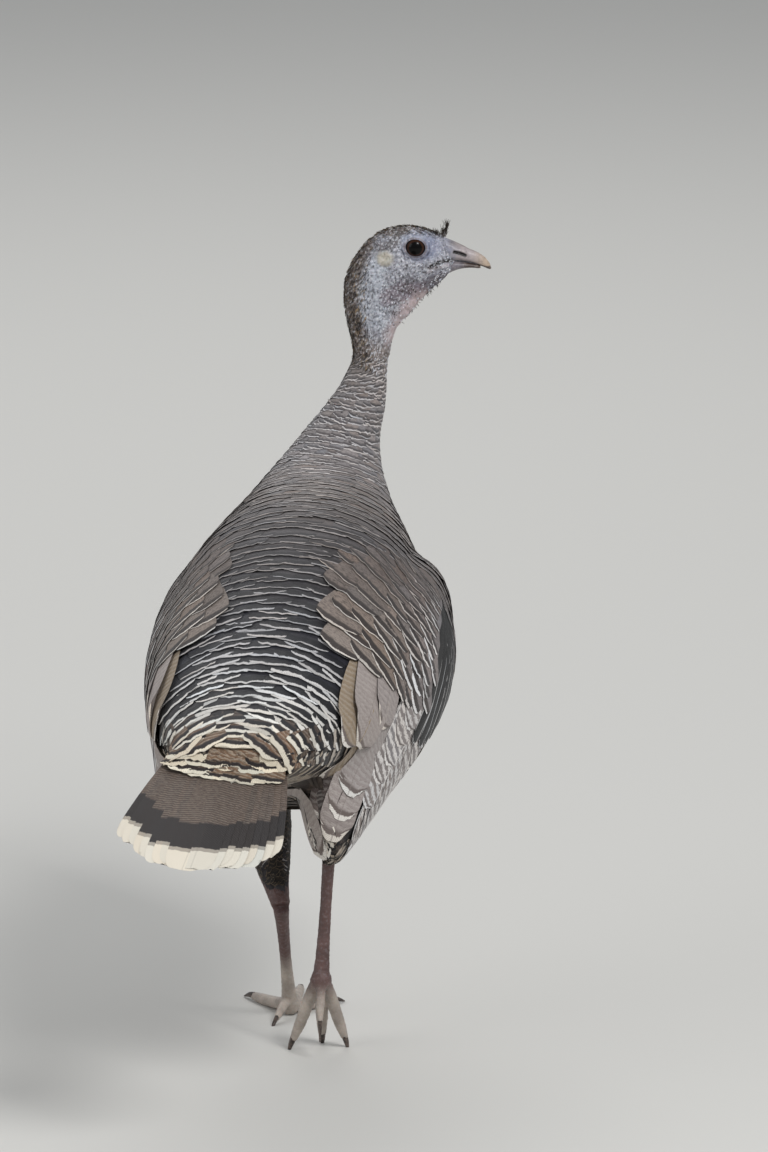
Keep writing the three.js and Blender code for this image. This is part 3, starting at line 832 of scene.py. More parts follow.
for name, sign in (("left", -1), ("right", 1)):
    centre = on_head(EYE_FORWARD, LID_UP, sign * EYEBALL_ASIDE)
    bpy.ops.mesh.primitive_uv_sphere_add(
        segments=EYE_SEGMENTS, ring_count=EYE_RINGS, radius=EYEBALL_RADIUS * MM, location=(0, 0, 0)
    )
    eye = bpy.context.object
    eye.name = f"eyeball_{name}"
    points = places_of(eye)
    local = points / EYEBALL_RADIUS
    turned = local[:, :1] * FORWARD + local[:, 1:2] * UP + local[:, 2:] * ASIDE * sign
    angle = np.arccos(np.clip(local[:, 2], -1, 1))
    proud = CORNEA_RISE * (1 - smooth(0.45, 0.95, angle))
    move_to(eye, centre + turned * (EYEBALL_RADIUS + proud)[:, None])
    write_values(eye, "gaze", np.stack([angle, angle * 0, angle * 0], 1))
    bpy.ops.object.mode_set(mode="EDIT")
    bpy.ops.mesh.select_all(action="SELECT")
    bpy.ops.mesh.normals_make_consistent(inside=False)
    bpy.ops.object.mode_set(mode="OBJECT")
    bpy.ops.object.shade_smooth()
    eye.data.materials.append(eye_material)
    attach(eye, "root")
    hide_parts(f"eye_{name}")
print("eyes made")

# %% [markdown]
# ## Bill
# Two horn sheaths. The upper one overhangs the lower in a blunt hook and carries the nostril, a slit
# under a soft flap. Both are welded finely from the solids, then the slit, the flap and the faint
# growth ridges are pressed in.

# %% Bill
BILL_GRAIN = 0.55
NOSTRIL = [(68.0, 80.4), (72.4, 79.4), (76.7, 77.6)]
NOSTRIL_FLAP = [(67.2, 82.6), (71.6, 82.0), (76.0, 80.2)]
upper_bill = welded("bill_horn_upper", ["bill_upper"], BILL_GRAIN, 7)
lower_bill = welded("bill_horn_lower", ["bill_lower"], BILL_GRAIN, 6)
for piece in (upper_bill, lower_bill):
    points, normals = places_of(piece), directions_of(piece)
    forward, up, aside = head_places(points)
    cheek_side = smooth(1.2, 2.6, np.abs(aside))
    swell = np.full(len(points), 0.42)
    if piece == upper_bill:
        slit = line_distance(forward, up, NOSTRIL)
        swell -= 2.0 * np.exp(-((slit / 1.0) ** 2)) * cheek_side
        flap = line_distance(forward, up, NOSTRIL_FLAP)
        swell += 0.6 * np.exp(-((flap / 1.3) ** 2)) * cheek_side
        base_dip = np.exp(-(((forward - 79.5) / 2.5) ** 2)) * smooth(74, 80, up)
        swell -= 0.35 * base_dip
    swell += 0.06 * np.sin(forward * 3.1 + 0.4 * up) * smooth(70, 80, forward)
    move_to(piece, points + normals * swell[:, None])
    tip = smooth(80, 96, forward)
    culmen = smooth(2.6, 0.8, np.abs(aside)) * smooth(76, 84, up + 0.5 * (forward - 70))
    if piece == upper_bill:
        drift = 2.5 * soft_noise(points, 5.0, 6.0)
        colours = np.tile(tone("a69c9d"), (len(points), 1))
        colours = blend_in(colours, 0.75 * tip, tone("c0a98e"))
        colours = blend_in(colours, 0.7 * culmen * (1 - tip), tone("7c6f69"))
        colours = blend_in(colours, smooth(73, 63, forward + drift), tone("8c8d9b"))
        ridge = smooth(82, 88, up) * smooth(60, 66, forward)
        colours = blend_in(colours, 0.6 * ridge, tone("5c524e"))
        edge = smooth(2.0, 0.5, up - np.interp(forward, [56, 71, 83, 94], [71.8, 72.6, 70.5, 66.8]))
        colours = blend_in(colours, 0.9 * edge, tone("2a1f1e"))
        # Painted shade: the nostril's slit is near black.
        colours = blend_in(colours, smooth(2.0, 1.0, slit) * cheek_side, tone("140e0e"))
    else:
        # Painted shade: the lower horn is painted a darker grey than the upper, and darker again towards the front
        # under the upper bill's hook; its tip keeps a horn brown.
        colours = np.tile(tone("6f6a72"), (len(points), 1))
        colours = blend_in(colours, smooth(70, 80, forward), tone("4a3d38"))
        colours = blend_in(colours, 0.6 * smooth(86, 94, forward), tone("86674f"))
    paint(piece, "tint", colours)
    bpy.ops.object.select_all(action="DESELECT")
    piece.select_set(True)
    bpy.context.view_layer.objects.active = piece
    bpy.ops.object.shade_smooth()

horn_material, nodes, shader = new_material("bill_horn", 0.4, Coat_Weight=0.12, Coat_Roughness=0.3)
tint = nodes.attribute("tint")
place = nodes.add("ShaderNodeTexCoord").outputs["Object"]
worn = nodes.group(
    speckle_group,
    Ground=tint,
    Light=nodes.mix(0.3, tint, (*tone("d9cdc0"), 1)),
    Dark=nodes.mix(0.45, tint, (*tone("2a2020"), 1)),
    Amount=0.45,
    Size=260.0,
)
nodes.feed(shader.inputs["Base Color"], worn["Colour"])
scratches = nodes.noise(place, 800.0, 4.0, 0.6)
nodes.feed(shader.inputs["Roughness"], nodes.step(scratches, 0.3, 0.7, (0.32, 0.5)))
bump_into(nodes, shader, scratches, 0.15, 0.6)
for piece, node in ((upper_bill, "bill_upper"), (lower_bill, "bill_lower")):
    piece.data.materials.append(horn_material)
    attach(piece, "root")
    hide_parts(node)
print("bill:", len(upper_bill.data.polygons) + len(lower_bill.data.polygons), "faces")

# %% [markdown]
# ## Claws
# Eight short worn claws, each welded from its solid. They share one piece, as they share one horn.

# %% Claws
CLAW_GRAIN = 0.4
claw_nodes = [f"claw_{side}_{toe}" for side in ("left", "right") for toe in TOES]
claws = welded("claws", claw_nodes, CLAW_GRAIN, 5)
points, normals = places_of(claws), directions_of(claws)
lifted = points + normals * 0.22
lifted[:, 2] = np.maximum(lifted[:, 2], 0.02)
move_to(claws, lifted)
bpy.ops.object.select_all(action="DESELECT")
claws.select_set(True)
bpy.context.view_layer.objects.active = claws
bpy.ops.object.shade_smooth()
claw_material, nodes, shader = new_material("claw_horn", 0.38, Coat_Weight=0.1)
place = nodes.add("ShaderNodeTexCoord").outputs["Object"]
streak = nodes.noise(place, 350.0, 3.0)
colour = nodes.mix(nodes.step(streak, 0.35, 0.65), (*tone("2e2522"), 1), (*tone("5e5048"), 1))
nodes.feed(shader.inputs["Base Color"], colour)
bump_into(nodes, shader, nodes.noise(place, 1200.0, 3.0), 0.12, 0.5)
claws.data.materials.append(claw_material)
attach(claws, "root")
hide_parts(*claw_nodes)
print("claws:", len(claws.data.polygons), "faces")

# %% [markdown]
# ## How a feather is made
# A feather is a thin closed vane: a grid of points for its upper face, one row of points for its under
# face, and a lid at each end. Thousands of them are made at once from arrays. Each carries its own
# colours, and at every vertex its place on the vane: how far across, how far from the tip, and a chance
# number. Its patch on the OFBake map is placed by where its root lies round the body and along it.


# %% Vanes from arrays
def vane_piece(name, grid, normal, thick, from_tip, widths, marks, patch, slot="plumage"):
    """One mesh of many feathers.

    grid is feathers x stations x across x 3, normal is feathers x stations x 3, from_tip is
    feathers x stations x across and widths feathers x stations. marks holds a colour or three values
    for each feather, and patch the place of each feather on the OFBake map.
    """
    count, stations, across, _ = grid.shape
    taper = np.linspace(1.0, 0.45, stations)[None, :, None]
    belly = grid[:, :, across // 2] - normal * np.reshape(thick, (-1, 1, 1)) * taper
    points = np.concatenate([grid, belly[:, :, None]], 2)
    ring_size = across + 1
    one = np.arange(stations * ring_size).reshape(stations, ring_size)
    turned = np.roll(one, -1, axis=1)
    quads = np.stack([one[:-1], one[1:], turned[1:], turned[:-1]], 2).reshape(-1, 4)
    lids = np.array([one[0], one[-1, ::-1]])
    offsets = (np.arange(count) * stations * ring_size)[:, None, None]
    corners = np.concatenate([(quads[None] + offsets).ravel(), (lids[None] + offsets).ravel()])
    sizes = np.concatenate([np.full(count * len(quads), 4), np.full(count * len(lids), ring_size)])
    mesh = bpy.data.meshes.new(name)
    mesh.vertices.add(count * stations * ring_size)
    mesh.vertices.foreach_set("co", (points.reshape(-1) * MM).astype(np.float32))
    mesh.loops.add(len(corners))
    mesh.loops.foreach_set("vertex_index", corners.astype(np.int32))
    mesh.polygons.add(len(sizes))
    starts = np.concatenate([[0], np.cumsum(sizes)[:-1]])
    mesh.polygons.foreach_set("loop_start", starts.astype(np.int32))
    mesh.update(calc_edges=True)
    ends = np.empty(len(mesh.edges) * 2, np.int32)
    mesh.edges.foreach_get("vertices", ends)
    column, row = ends.reshape(-1, 2) % ring_size, (ends.reshape(-1, 2) // ring_size) % stations
    rim = (column[:, 0] == column[:, 1]) & ((column[:, 0] == 0) | (column[:, 0] == across - 1))
    rim |= (row == stations - 1).all(1)
    mesh.attributes.new("sharp_edge", "BOOLEAN", "EDGE").data.foreach_set("value", rim)
    piece = bpy.data.objects.new(name, mesh)
    bpy.context.scene.collection.objects.link(piece)

    share = np.append(np.linspace(-1, 1, across), 0.0)
    sides = np.broadcast_to(share, (count, stations, ring_size))
    tip_distance = np.concatenate([from_tip, from_tip[:, :, across // 2 : across // 2 + 1]], 2)
    chances = np.broadcast_to(marks["chance"][:, None, None], sides.shape)
    vane = np.stack([sides * widths[:, :, None], tip_distance, chances], 3)
    write_values(piece, "vane", vane.reshape(-1, 3))
    for key in ("ground", "band", "fringe"):
        paint(piece, key, np.repeat(marks[key], stations * ring_size, axis=0))
    for key in ("edges", "manner", "trim"):
        write_values(piece, key, np.repeat(marks[key], stations * ring_size, axis=0))

    along = np.broadcast_to(np.linspace(-1, 1, stations)[None, :, None], sides.shape)
    places = np.stack([sides, along], 3) * 0.0014 + patch[:, None, None, :]
    layer = mesh.uv_layers.new(name="OFBake")
    layer.data.foreach_set("uv", places.reshape(-1, 2)[corners].astype(np.float32).ravel())
    mesh.polygons.foreach_set("use_smooth", np.ones(len(sizes), bool))
    piece.data.materials.append(plume_material)
    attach(piece, "root")
    print(name, count, "feathers", count * (len(quads) * 2 + 2 * (ring_size - 2)), "triangles")
    return piece


# %% [markdown]
# ## Feather markings
# Every feather is a ground colour crossed near its end by a dark band and edged with a pale fringe.
# Widths, barring and gloss come with each feather, so one material serves the whole coat. Fine slanted
# lines stand for the barbs, in colour and in relief, and a dark line for the shaft.

# %% Markings group
nodes, given, out = new_group(
    "feather_marks",
    {
        "Vane": "vector",
        "Edges": "vector",
        "Manner": "vector",
        "Trim": "vector",
        "Ground": "colour",
        "Band": "colour",
        "Fringe": "colour",
    },
    {"Colour": "colour", "Height": "value"},
)
across, tip_distance, feather = nodes.apart(given["Vane"])
fringe_width, band_width, line_width = nodes.apart(given["Edges"])
barring, _, bar_rate = nodes.apart(given["Manner"])
side_start, shaft_strength, mottling = nodes.apart(given["Trim"])
sideways = nodes.math("ABSOLUTE", across)

# The edges of the marks wander slowly across the vane and fray a little along the barbs.
slow = nodes.noise(nodes.together(nodes.math("MULTIPLY", across, 0.22), feather, feather), 1.0, 2.0)
wander = nodes.math("MINIMUM", nodes.math("MULTIPLY", fringe_width, 1.1), 2.6)
slow = nodes.math("MULTIPLY", nodes.math("SUBTRACT", slow, 0.5), wander)
fray = nodes.noise(nodes.together(nodes.math("MULTIPLY", across, 1.9), feather, 0.5), 1.0, 2.0, 0.6)
fray = nodes.math("MULTIPLY", nodes.math("SUBTRACT", fray, 0.5), wander)
depth = nodes.math("ADD", nodes.math("ADD", tip_distance, slow), fray)

# Mottling and bars lie under the end marks.
mottle_place = nodes.together(
    nodes.math("MULTIPLY", across, 0.35), nodes.math("MULTIPLY", tip_distance, 0.8), feather
)
mottle = nodes.noise(mottle_place, 1.0, 3.0, 0.6)
wave = nodes.math("ADD", nodes.math("MULTIPLY", tip_distance, bar_rate), nodes.math("MULTIPLY", mottle, 6.0))
wave = nodes.math("ADD", wave, nodes.math("MULTIPLY", sideways, nodes.math("MULTIPLY", bar_rate, 0.25)))
bars = nodes.step(nodes.math("SINE", wave), -0.25, 0.45)
base = nodes.mix(nodes.math("MULTIPLY", bars, barring), given["Ground"], given["Fringe"])
clouded = nodes.math("MULTIPLY", nodes.step(mottle, 0.42, 0.68), mottling)
base = nodes.mix(clouded, base, given["Band"])

band_end = nodes.math("ADD", nodes.math("ADD", fringe_width, line_width), band_width)
band_share = nodes.step(depth, nodes.math("ADD", band_end, 1.3), nodes.math("SUBTRACT", band_end, 1.3))
colour = nodes.mix(band_share, base, given["Band"])
line_end = nodes.math("ADD", fringe_width, line_width)
line_tone = nodes.mix(0.45, given["Ground"], given["Fringe"])
line_share = nodes.step(depth, nodes.math("ADD", line_end, 0.3), nodes.math("SUBTRACT", line_end, 0.3))
colour = nodes.mix(line_share, colour, line_tone)
fringe_share = nodes.step(
    depth, nodes.math("ADD", fringe_width, 0.3), nodes.math("SUBTRACT", fringe_width, 0.3)
)
colour = nodes.mix(fringe_share, colour, given["Fringe"])
side_share = nodes.step(sideways, side_start, nodes.math("ADD", side_start, 0.5))
colour = nodes.mix(nodes.math("MULTIPLY", side_share, 0.85), colour, given["Fringe"])
shaft = nodes.math("MULTIPLY", nodes.step(sideways, 0.7, 0.3), shaft_strength)
colour = nodes.mix(shaft, colour, nodes.mix(0.5, given["Band"], given["Ground"]))

barb_slope = nodes.math("ADD", nodes.math("MULTIPLY", sideways, 4.6), nodes.math("MULTIPLY", tip_distance, 3.9))
barb_line = nodes.math("SINE", barb_slope)
barbed = nodes.add("ShaderNodeVectorMath", operation="SCALE")
nodes.feed(barbed.inputs[0], colour)
nodes.feed(barbed.inputs["Scale"], nodes.step(barb_line, -1.0, 1.0, (0.84, 1.08)))
nodes.feed(out["Colour"], barbed.outputs[0])
nodes.feed(out["Height"], barb_line)
marks_group = nodes.tree
print("feather marks:", len(marks_group.nodes), "nodes")

# %% Plumage material
plume_material, nodes, shader = new_material("plumage", 0.62, Specular_IOR_Level=0.3)
shader.inputs["Sheen Weight"].default_value = 0.08
shader.inputs["Sheen Roughness"].default_value = 0.5
manner = nodes.attribute("manner", "Vector")
marked = nodes.group(
    marks_group,
    Vane=nodes.attribute("vane", "Vector"),
    Edges=nodes.attribute("edges", "Vector"),
    Manner=manner,
    Trim=nodes.attribute("trim", "Vector"),
    Ground=nodes.attribute("ground"),
    Band=nodes.attribute("band"),
    Fringe=nodes.attribute("fringe"),
)
_, gloss, _ = nodes.apart(manner)
nodes.feed(shader.inputs["Base Color"], marked["Colour"])
nodes.feed(shader.inputs["Roughness"], nodes.step(gloss, 0.0, 1.0, (0.7, 0.3)))
bump_into(nodes, shader, marked["Height"], 0.12, 0.5)
print("plumage material ready")

# %% [markdown]
# ## Tracts
# Contour feathers grow in rows that ring a body or a limb. A smooth line runs down the middle of each,
# and a row is where a plane across that line meets the form. Rays from outside find the surface all
# the way round. One class does this for the trunk and neck, the two wings, the folded primaries and
# the drumsticks.


# %% Rings round a line
RAYS = 120


def table_row(table, u):
    """Catmull-Rom value at u, counted in rows of a table."""
    last = len(table) - 1
    i = int(min(max(math.floor(u), 0), last - 1))
    t = u - i
    a, b, c, d = (table[min(max(k, 0), last)] for k in (i - 1, i, i + 1, i + 2))
    slope_in, slope_out = (c - a) / 2, (d - b) / 2
    bend = 2 * (b - c) + slope_in + slope_out
    return ((bend * t + 3 * (c - b) - 2 * slope_in - slope_out) * t + slope_in) * t + b


def unit(vectors):
    return vectors / np.maximum(np.linalg.norm(vectors, axis=-1, keepdims=True), 1e-9)


class Tract:
    """Rings of surface points round a line.

    A table row holds x, y, z, pitch, turn and reach. heading is 1 where u grows towards the head and
    -1 where it grows towards the tail. mirror is 1 for her right side and -1 for her left, so that a
    ray's angle, counted from the top, always opens away from the body.
    """

    def __init__(self, table, first, last, steps, surface, heading, mirror=1, guide=0):
        self.table = np.array(table, float)
        self.mirror = mirror
        self.heading = heading
        found = {u: self.ring(u, surface) for u in np.linspace(first, last, steps)}
        self.us = np.array([u for u, spots in found.items() if spots is not None])
        self.rings = np.array([found[u] for u in self.us])
        line = self.rings[:, int(guide / 360 * RAYS)]
        steps_along = np.linalg.norm(np.diff(line, axis=0), axis=1)
        self.run = np.concatenate([[0], np.cumsum(steps_along)])

    def ring(self, u, surface):
        x, y, z, pitch, turn, reach = table_row(self.table, u)
        p, t = math.radians(pitch), math.radians(turn)
        side = np.array([math.cos(t), math.sin(t), 0.0]) * self.mirror
        up = np.array([math.sin(t) * math.sin(p), -math.cos(t) * math.sin(p), math.cos(p)])
        centre = np.array([x, y, z]) + SHIFT
        spots = np.full((RAYS, 3), np.nan)
        for k in range(RAYS):
            angle = 2 * math.pi * k / RAYS
            way = side * math.sin(angle) + up * math.cos(angle)
            met = surface.meet(centre + way * reach, -way, reach)
            if met is not None:
                spots[k] = met[0]
        known = ~np.isnan(spots[:, 0])
        if known.sum() < RAYS / 8:
            return None
        every = np.arange(RAYS)
        for axis in range(3):
            spots[:, axis] = np.interp(every, every[known], spots[known, axis], period=RAYS)
        return spots

    def spot(self, us, angles):
        """Surface points at many u and angles in degrees."""
        place = np.clip(np.interp(us, self.us, np.arange(len(self.us))), 0, len(self.us) - 1.001)
        i = place.astype(int)
        s = (place - i)[:, None]
        ray = np.mod(np.asarray(angles, float) / 360 * RAYS, RAYS)
        j = ray.astype(int) % RAYS
        t = (ray - np.floor(ray))[:, None]
        near = self.rings[i, j] * (1 - t) + self.rings[i, (j + 1) % RAYS] * t
        far = self.rings[i + 1, j] * (1 - t) + self.rings[i + 1, (j + 1) % RAYS] * t
        return near * (1 - s) + far * s

    def flow(self, us, angles):
        """The way feathers lie: along the line, towards the tail or the toes."""
        step = 0.012 * (self.us[-1] - self.us[0])
        low, high = np.maximum(us - step, self.us[0]), np.minimum(us + step, self.us[-1])
        return unit((self.spot(low, angles) - self.spot(high, angles)) * self.heading)

    def rows(self, gap, first, last):
        """The u of rows one gap apart along the guide, from first to last. gap(u) is in millimetres."""
        found = [first]
        gone = np.interp(first, self.us, self.run)
        while True:
            gone += gap(found[-1])
            u = np.interp(gone, self.run, self.us)
            if u >= last or gone > self.run[-1]:
                return found
            found.append(u)

    def around(self, u, step, shift):
        """Angles of even steps round the ring at u."""
        spots = self.spot(np.full(RAYS + 1, u), np.arange(RAYS + 1) * 360 / RAYS)
        length = np.concatenate([[0], np.cumsum(np.linalg.norm(np.diff(spots, axis=0), axis=1))])
        number = max(6, int(round(length[-1] / step)))
        wanted = (np.arange(number) + shift) * length[-1] / number
        return np.interp(wanted, length, np.arange(RAYS + 1)) * 360 / RAYS


def tract_tips(tract, plan, first, last, spread=1.2, uneven=0.16, seed=7):
    """The u, angle and place of every feather's tip in a tract, in staggered, slightly uneven rows."""
    rng = np.random.default_rng(seed)
    tips = {"u": [], "angle": [], "place": [], "lie": []}
    rows = tract.rows(lambda u: plan_value(plan, "gap", u), first, last)
    for number, (u, following) in enumerate(zip(rows, rows[1:] + [2 * rows[-1] - rows[-2]])):
        for part in range(4):
            here = u + (following - u) * part / 4
            if here > tract.us[-1]:
                continue
            step = plan_value(plan, "half", here) * spread
            angles = tract.around(here, step, (number % 2) * 0.5 + part * 0.27 + rng.uniform(-0.15, 0.15))
            us = np.full(len(angles), here)
            apart = np.linalg.norm(
                tract.spot(us * 0 + following, angles) - tract.spot(us * 0 + u, angles), axis=1
            )
            stretch = apart / plan_value(plan, "gap", here)
            wanted = stretch > (0.0, 2.6, 1.5, 2.6)[part]
            us, angles = us[wanted], angles[wanted]
            lie = tract.flow(us, angles)
            slip = rng.normal(0, uneven * plan_value(plan, "gap", here), len(us))
            tips["u"].append(us)
            tips["angle"].append(angles)
            tips["place"].append(tract.spot(us, angles) + lie * slip[:, None])
            tips["lie"].append(lie)
    return {key: np.concatenate(value) for key, value in tips.items()}


def plan_value(plan, column, us):
    lines = PLANS[plan]
    return np.interp(us, [line["u"] for line in lines], [line[column] for line in lines])


def plan_colour(plan, column, us):
    lines = PLANS[plan]
    colours = np.array([tone(line[column]) for line in lines])
    places = [line["u"] for line in lines]
    return np.stack([np.interp(us, places, colours[:, c]) for c in range(3)], 1)


print("tract rules ready")

# %% [markdown]
# ## Laying feathers on the form
# Each feather is laid from its tip: a step at a time its middle line walks back over the form, against
# the way the coat lies, to its root. The root is under the surface and the tip is above it, so each row
# covers the roots of the row behind, as tiles do. A vane is springy, so it bridges small hollows.

# %% Laying rule
CONTOUR = {
    "along": np.array([0.0, 0.28, 0.5, 0.68, 0.82, 0.92, 0.97, 1.0]),
    "wide": np.array([0.3, 0.78, 0.96, 1.0, 1.0, 0.96, 0.91, 0.84]),
    "across": 9,
}
QUILL = {
    "along": np.array([0.0, 0.14, 0.28, 0.42, 0.55, 0.66, 0.76, 0.84, 0.9, 0.945, 0.975, 0.99, 1.0]),
    "wide": np.array([0.35, 0.6, 0.78, 0.9, 0.96, 0.99, 1.0, 1.0, 0.98, 0.93, 0.85, 0.76, 0.68]),
    "across": 11,
}
HAIR = {"along": np.array([0.0, 0.5, 1.0]), "wide": np.array([0.8, 1.0, 0.35]), "across": 3}


def lay(
    surface, shape, tips, lie, length, half, root, tip, blunt, camber, ragged, seed, stiff=0.25, hub=None
):
    """Grids of feathers laid back from their tips. root and tip are heights over the surface.

    With a hub, every feather keeps pointing away from it.
    """
    rng = np.random.default_rng(seed)
    count, along, across = len(tips), shape["along"], shape["across"]
    stations = len(along)
    length, half = np.broadcast_to(length, count), np.broadcast_to(half, count)
    centre = np.empty((count, stations, 3))
    normals = np.empty((count, stations, 3))
    ways = np.empty((count, stations, 3))
    spot, normal = surface.nearest(tips)
    way = unit(lie - normal * np.sum(lie * normal, 1)[:, None])
    for i in range(stations - 1, -1, -1):
        centre[:, i], normals[:, i], ways[:, i] = spot, normal, way
        if i > 0:
            stride = (along[i] - along[i - 1]) * length
            spot, normal = surface.nearest(spot - way * stride[:, None])
            way = way if hub is None else unit(way + 1.5 * unit(spot - hub))
            way = unit(way - normal * np.sum(way * normal, 1)[:, None])
    for _ in range(3):
        inner_part = 0.25 * centre[:, :-2] + 0.5 * centre[:, 1:-1] + 0.25 * centre[:, 2:]
        centre[:, 1:-1] = inner_part
        normals[:, 1:-1] = unit(0.25 * normals[:, :-2] + 0.5 * normals[:, 1:-1] + 0.25 * normals[:, 2:])
    cross = unit(np.cross(normals, ways))
    share = np.linspace(-1, 1, across)
    widths = half[:, None] * shape["wide"][None, :]
    flat = centre[:, :, None] + cross[:, :, None] * (widths[:, :, None] * share)[..., None]
    end = along[None, :, None] ** 6
    slip = np.reshape(blunt, (-1, 1, 1)) * share**2 * end * half[:, None, None]
    slip = slip + rng.normal(0, 1, (count, 1, across)) * np.reshape(ragged, (-1, 1, 1)) * end
    flat = flat - ways[:, :, None] * slip[..., None]
    spots, face_normals = surface.nearest(flat)
    over = np.sum((flat - spots) * face_normals, 3)
    root, tip = np.broadcast_to(root, count)[:, None], np.broadcast_to(tip, count)[:, None]
    rise = root + (tip - root) * along[None, :] ** 0.8
    tilt = rng.uniform(-0.2, 0.2, count)[:, None, None] + 0.16 * share
    height = rise[:, :, None] - np.reshape(camber, (-1, 1, 1)) * share**2 + tilt
    height = height + stiff * np.maximum(over, 0)
    grid = spots + face_normals * height[..., None]
    from_tip = length[:, None, None] * (1 - along[None, :, None]) + np.zeros((count, 1, across))
    return grid, normals, from_tip, widths


def vary(rng, colours, light, hue):
    """Makes each feather's colour a little lighter or darker, warmer or cooler."""
    shade = 1 + rng.normal(0, light, (len(colours), 1))
    warmth = rng.normal(0, hue, (len(colours), 1)) * np.array([[1.0, 0.0, -1.0]])
    return np.clip(colours * np.clip(shade, 0.5, 1.6) * (1 + warmth), 0.002, 0.95)


def triple(count, *values):
    return np.stack([np.broadcast_to(np.asarray(v, float), count) for v in values], 1)


print("laying rule ready")

# %% [markdown]
# ## The coat's plan
# One table for the body and one for the wings say what the feathers are like at each place: how far
# apart the rows are, the size of a feather, its colours and the widths of its marks. Values between two
# lines of a table are blended. A hen's rump is dark with pale tips, her mantle and neck are finely
# edged with grey, and the feathers that cover the tail's root are brown with cream tips.

# %% Plans
COLUMNS = (
    "u", "gap", "half", "length", "ground", "band", "fringe", "tip_mark", "band_mark", "bars", "gloss",
    "mottle",
)
BODY_PLAN = [
    (-0.2, 9.0, 19, 58, "7a604b", "2a2322", "dcd3bf", 2.7, 4.2, 0.30, 0.15, 0.5),
    (0.6, 9.0, 19, 58, "6b5240", "211d1f", "dad2c2", 2.9, 4.6, 0.20, 0.2, 0.5),
    (1.2, 9.5, 19, 58, "2c282a", "18171b", "d8d4cc", 2.9, 5.2, 0.05, 0.35, 0.5),
    (1.9, 10.5, 19, 56, "222129", "101015", "cfcdca", 2.2, 6.2, 0.0, 0.5, 0.6),
    (2.7, 11.5, 19, 54, "27272f", "131319", "bab8b9", 1.55, 7.0, 0.0, 0.5, 0.6),
    (3.4, 11.5, 18, 50, "312f34", "19181c", "a29f9f", 1.1, 6.0, 0.0, 0.4, 0.6),
    (4.2, 11.5, 16, 45, "413d3f", "262325", "918b89", 0.95, 4.5, 0.0, 0.3, 0.6),
    (5.2, 11.5, 14, 41, "686261", "3f3b3b", "a29b98", 0.85, 3.2, 0.0, 0.2, 0.6),
    (6.4, 10.5, 12, 36, "8f8682", "554f4d", "bdb6b1", 0.9, 2.8, 0.0, 0.2, 0.6),
    (7.4, 8.6, 11, 31, "948c8a", "575251", "c3bcb9", 0.8, 2.4, 0.0, 0.2, 0.6),
    (8.4, 7.2, 8.6, 25, "938d8d", "565253", "c4bfbe", 0.75, 2.2, 0.0, 0.2, 0.6),
    (9.6, 6.0, 7.0, 19, "8b8584", "504c4d", "c6c2c2", 0.7, 2.0, 0.0, 0.2, 0.6),
    (10.8, 4.8, 5.6, 14, "857e7b", "4a4544", "bcb6b4", 0.6, 1.6, 0.0, 0.2, 0.7),
    (12.0, 4.0, 4.4, 10, "7d746e", "4a4341", "afa8a4", 0.5, 1.1, 0.0, 0.2, 0.7),
]
WING_PLAN = [
    (0, 13.0, 10, 36, "6b6461", "3f3a38", "a59d98", 0.7, 3.0, 0.0, 0.2, 0.5),
    (40, 13.0, 11, 40, "6f6764", "3e3836", "aca4a0", 0.8, 4.0, 0.0, 0.2, 0.6),
    (80, 15.0, 14, 48, "766c69", "3b3533", "b6aea9", 0.95, 5.0, 0.0, 0.2, 0.6),
    (120, 18.0, 17, 60, "82766f", "393331", "c1b9b2", 1.15, 5.5, 0.0, 0.2, 0.6),
    (170, 20.0, 19, 74, "8b7e75", "38312e", "ccc5bd", 1.4, 6.0, 0.0, 0.2, 0.6),
    (220, 22.0, 21, 84, "8d8076", "38312e", "d4cec6", 1.7, 6.0, 0.0, 0.2, 0.6),
]
LEG_PLAN = [
    (0.0, 9.0, 8, 26, "332c26", "1e1a18", "564b3e", 0.7, 3.0, 0.1, 0.2, 0.6),
    (4.0, 6.0, 5, 16, "342c25", "1f1b18", "574b3d", 0.5, 2.5, 0.1, 0.2, 0.6),
]
PLANS = {
    "body": [dict(zip(COLUMNS, line)) for line in BODY_PLAN],
    "wing": [dict(zip(COLUMNS, line)) for line in WING_PLAN],
    "leg": [dict(zip(COLUMNS, line)) for line in LEG_PLAN],
}


def plan_marks(plan, us, rng, ground=None, band=None, fringe=None):
    """The colours and mark widths of contour feathers at many u."""
    count = len(us)
    ground = plan_colour(plan, "ground", us) if ground is None else ground
    band = plan_colour(plan, "band", us) if band is None else band
    fringe = plan_colour(plan, "fringe", us) if fringe is None else fringe
    tip_mark = plan_value(plan, "tip_mark", us) * rng.uniform(0.6, 1.35, count)
    return {
        "ground": vary(rng, ground, 0.09, 0.03),
        "band": vary(rng, band, 0.12, 0.03),
        "fringe": vary(rng, fringe, 0.10, 0.02),
        "edges": triple(count, tip_mark, plan_value(plan, "band_mark", us), 0.0),
        "manner": triple(count, plan_value(plan, "bars", us), plan_value(plan, "gloss", us), 1.5),
        "trim": triple(count, 99.0, 0.12, plan_value(plan, "mottle", us)),
        "chance": rng.uniform(0, 40, count),
    }


print("plans:", {name: len(lines) for name, lines in PLANS.items()})

# %% [markdown]
# ## The tracts of this bird
# The body's line runs from the tail's root to the top of the neck. The folded primaries and the
# drumsticks have lines of their own. The wings and the tail are fans, and are laid out as such.

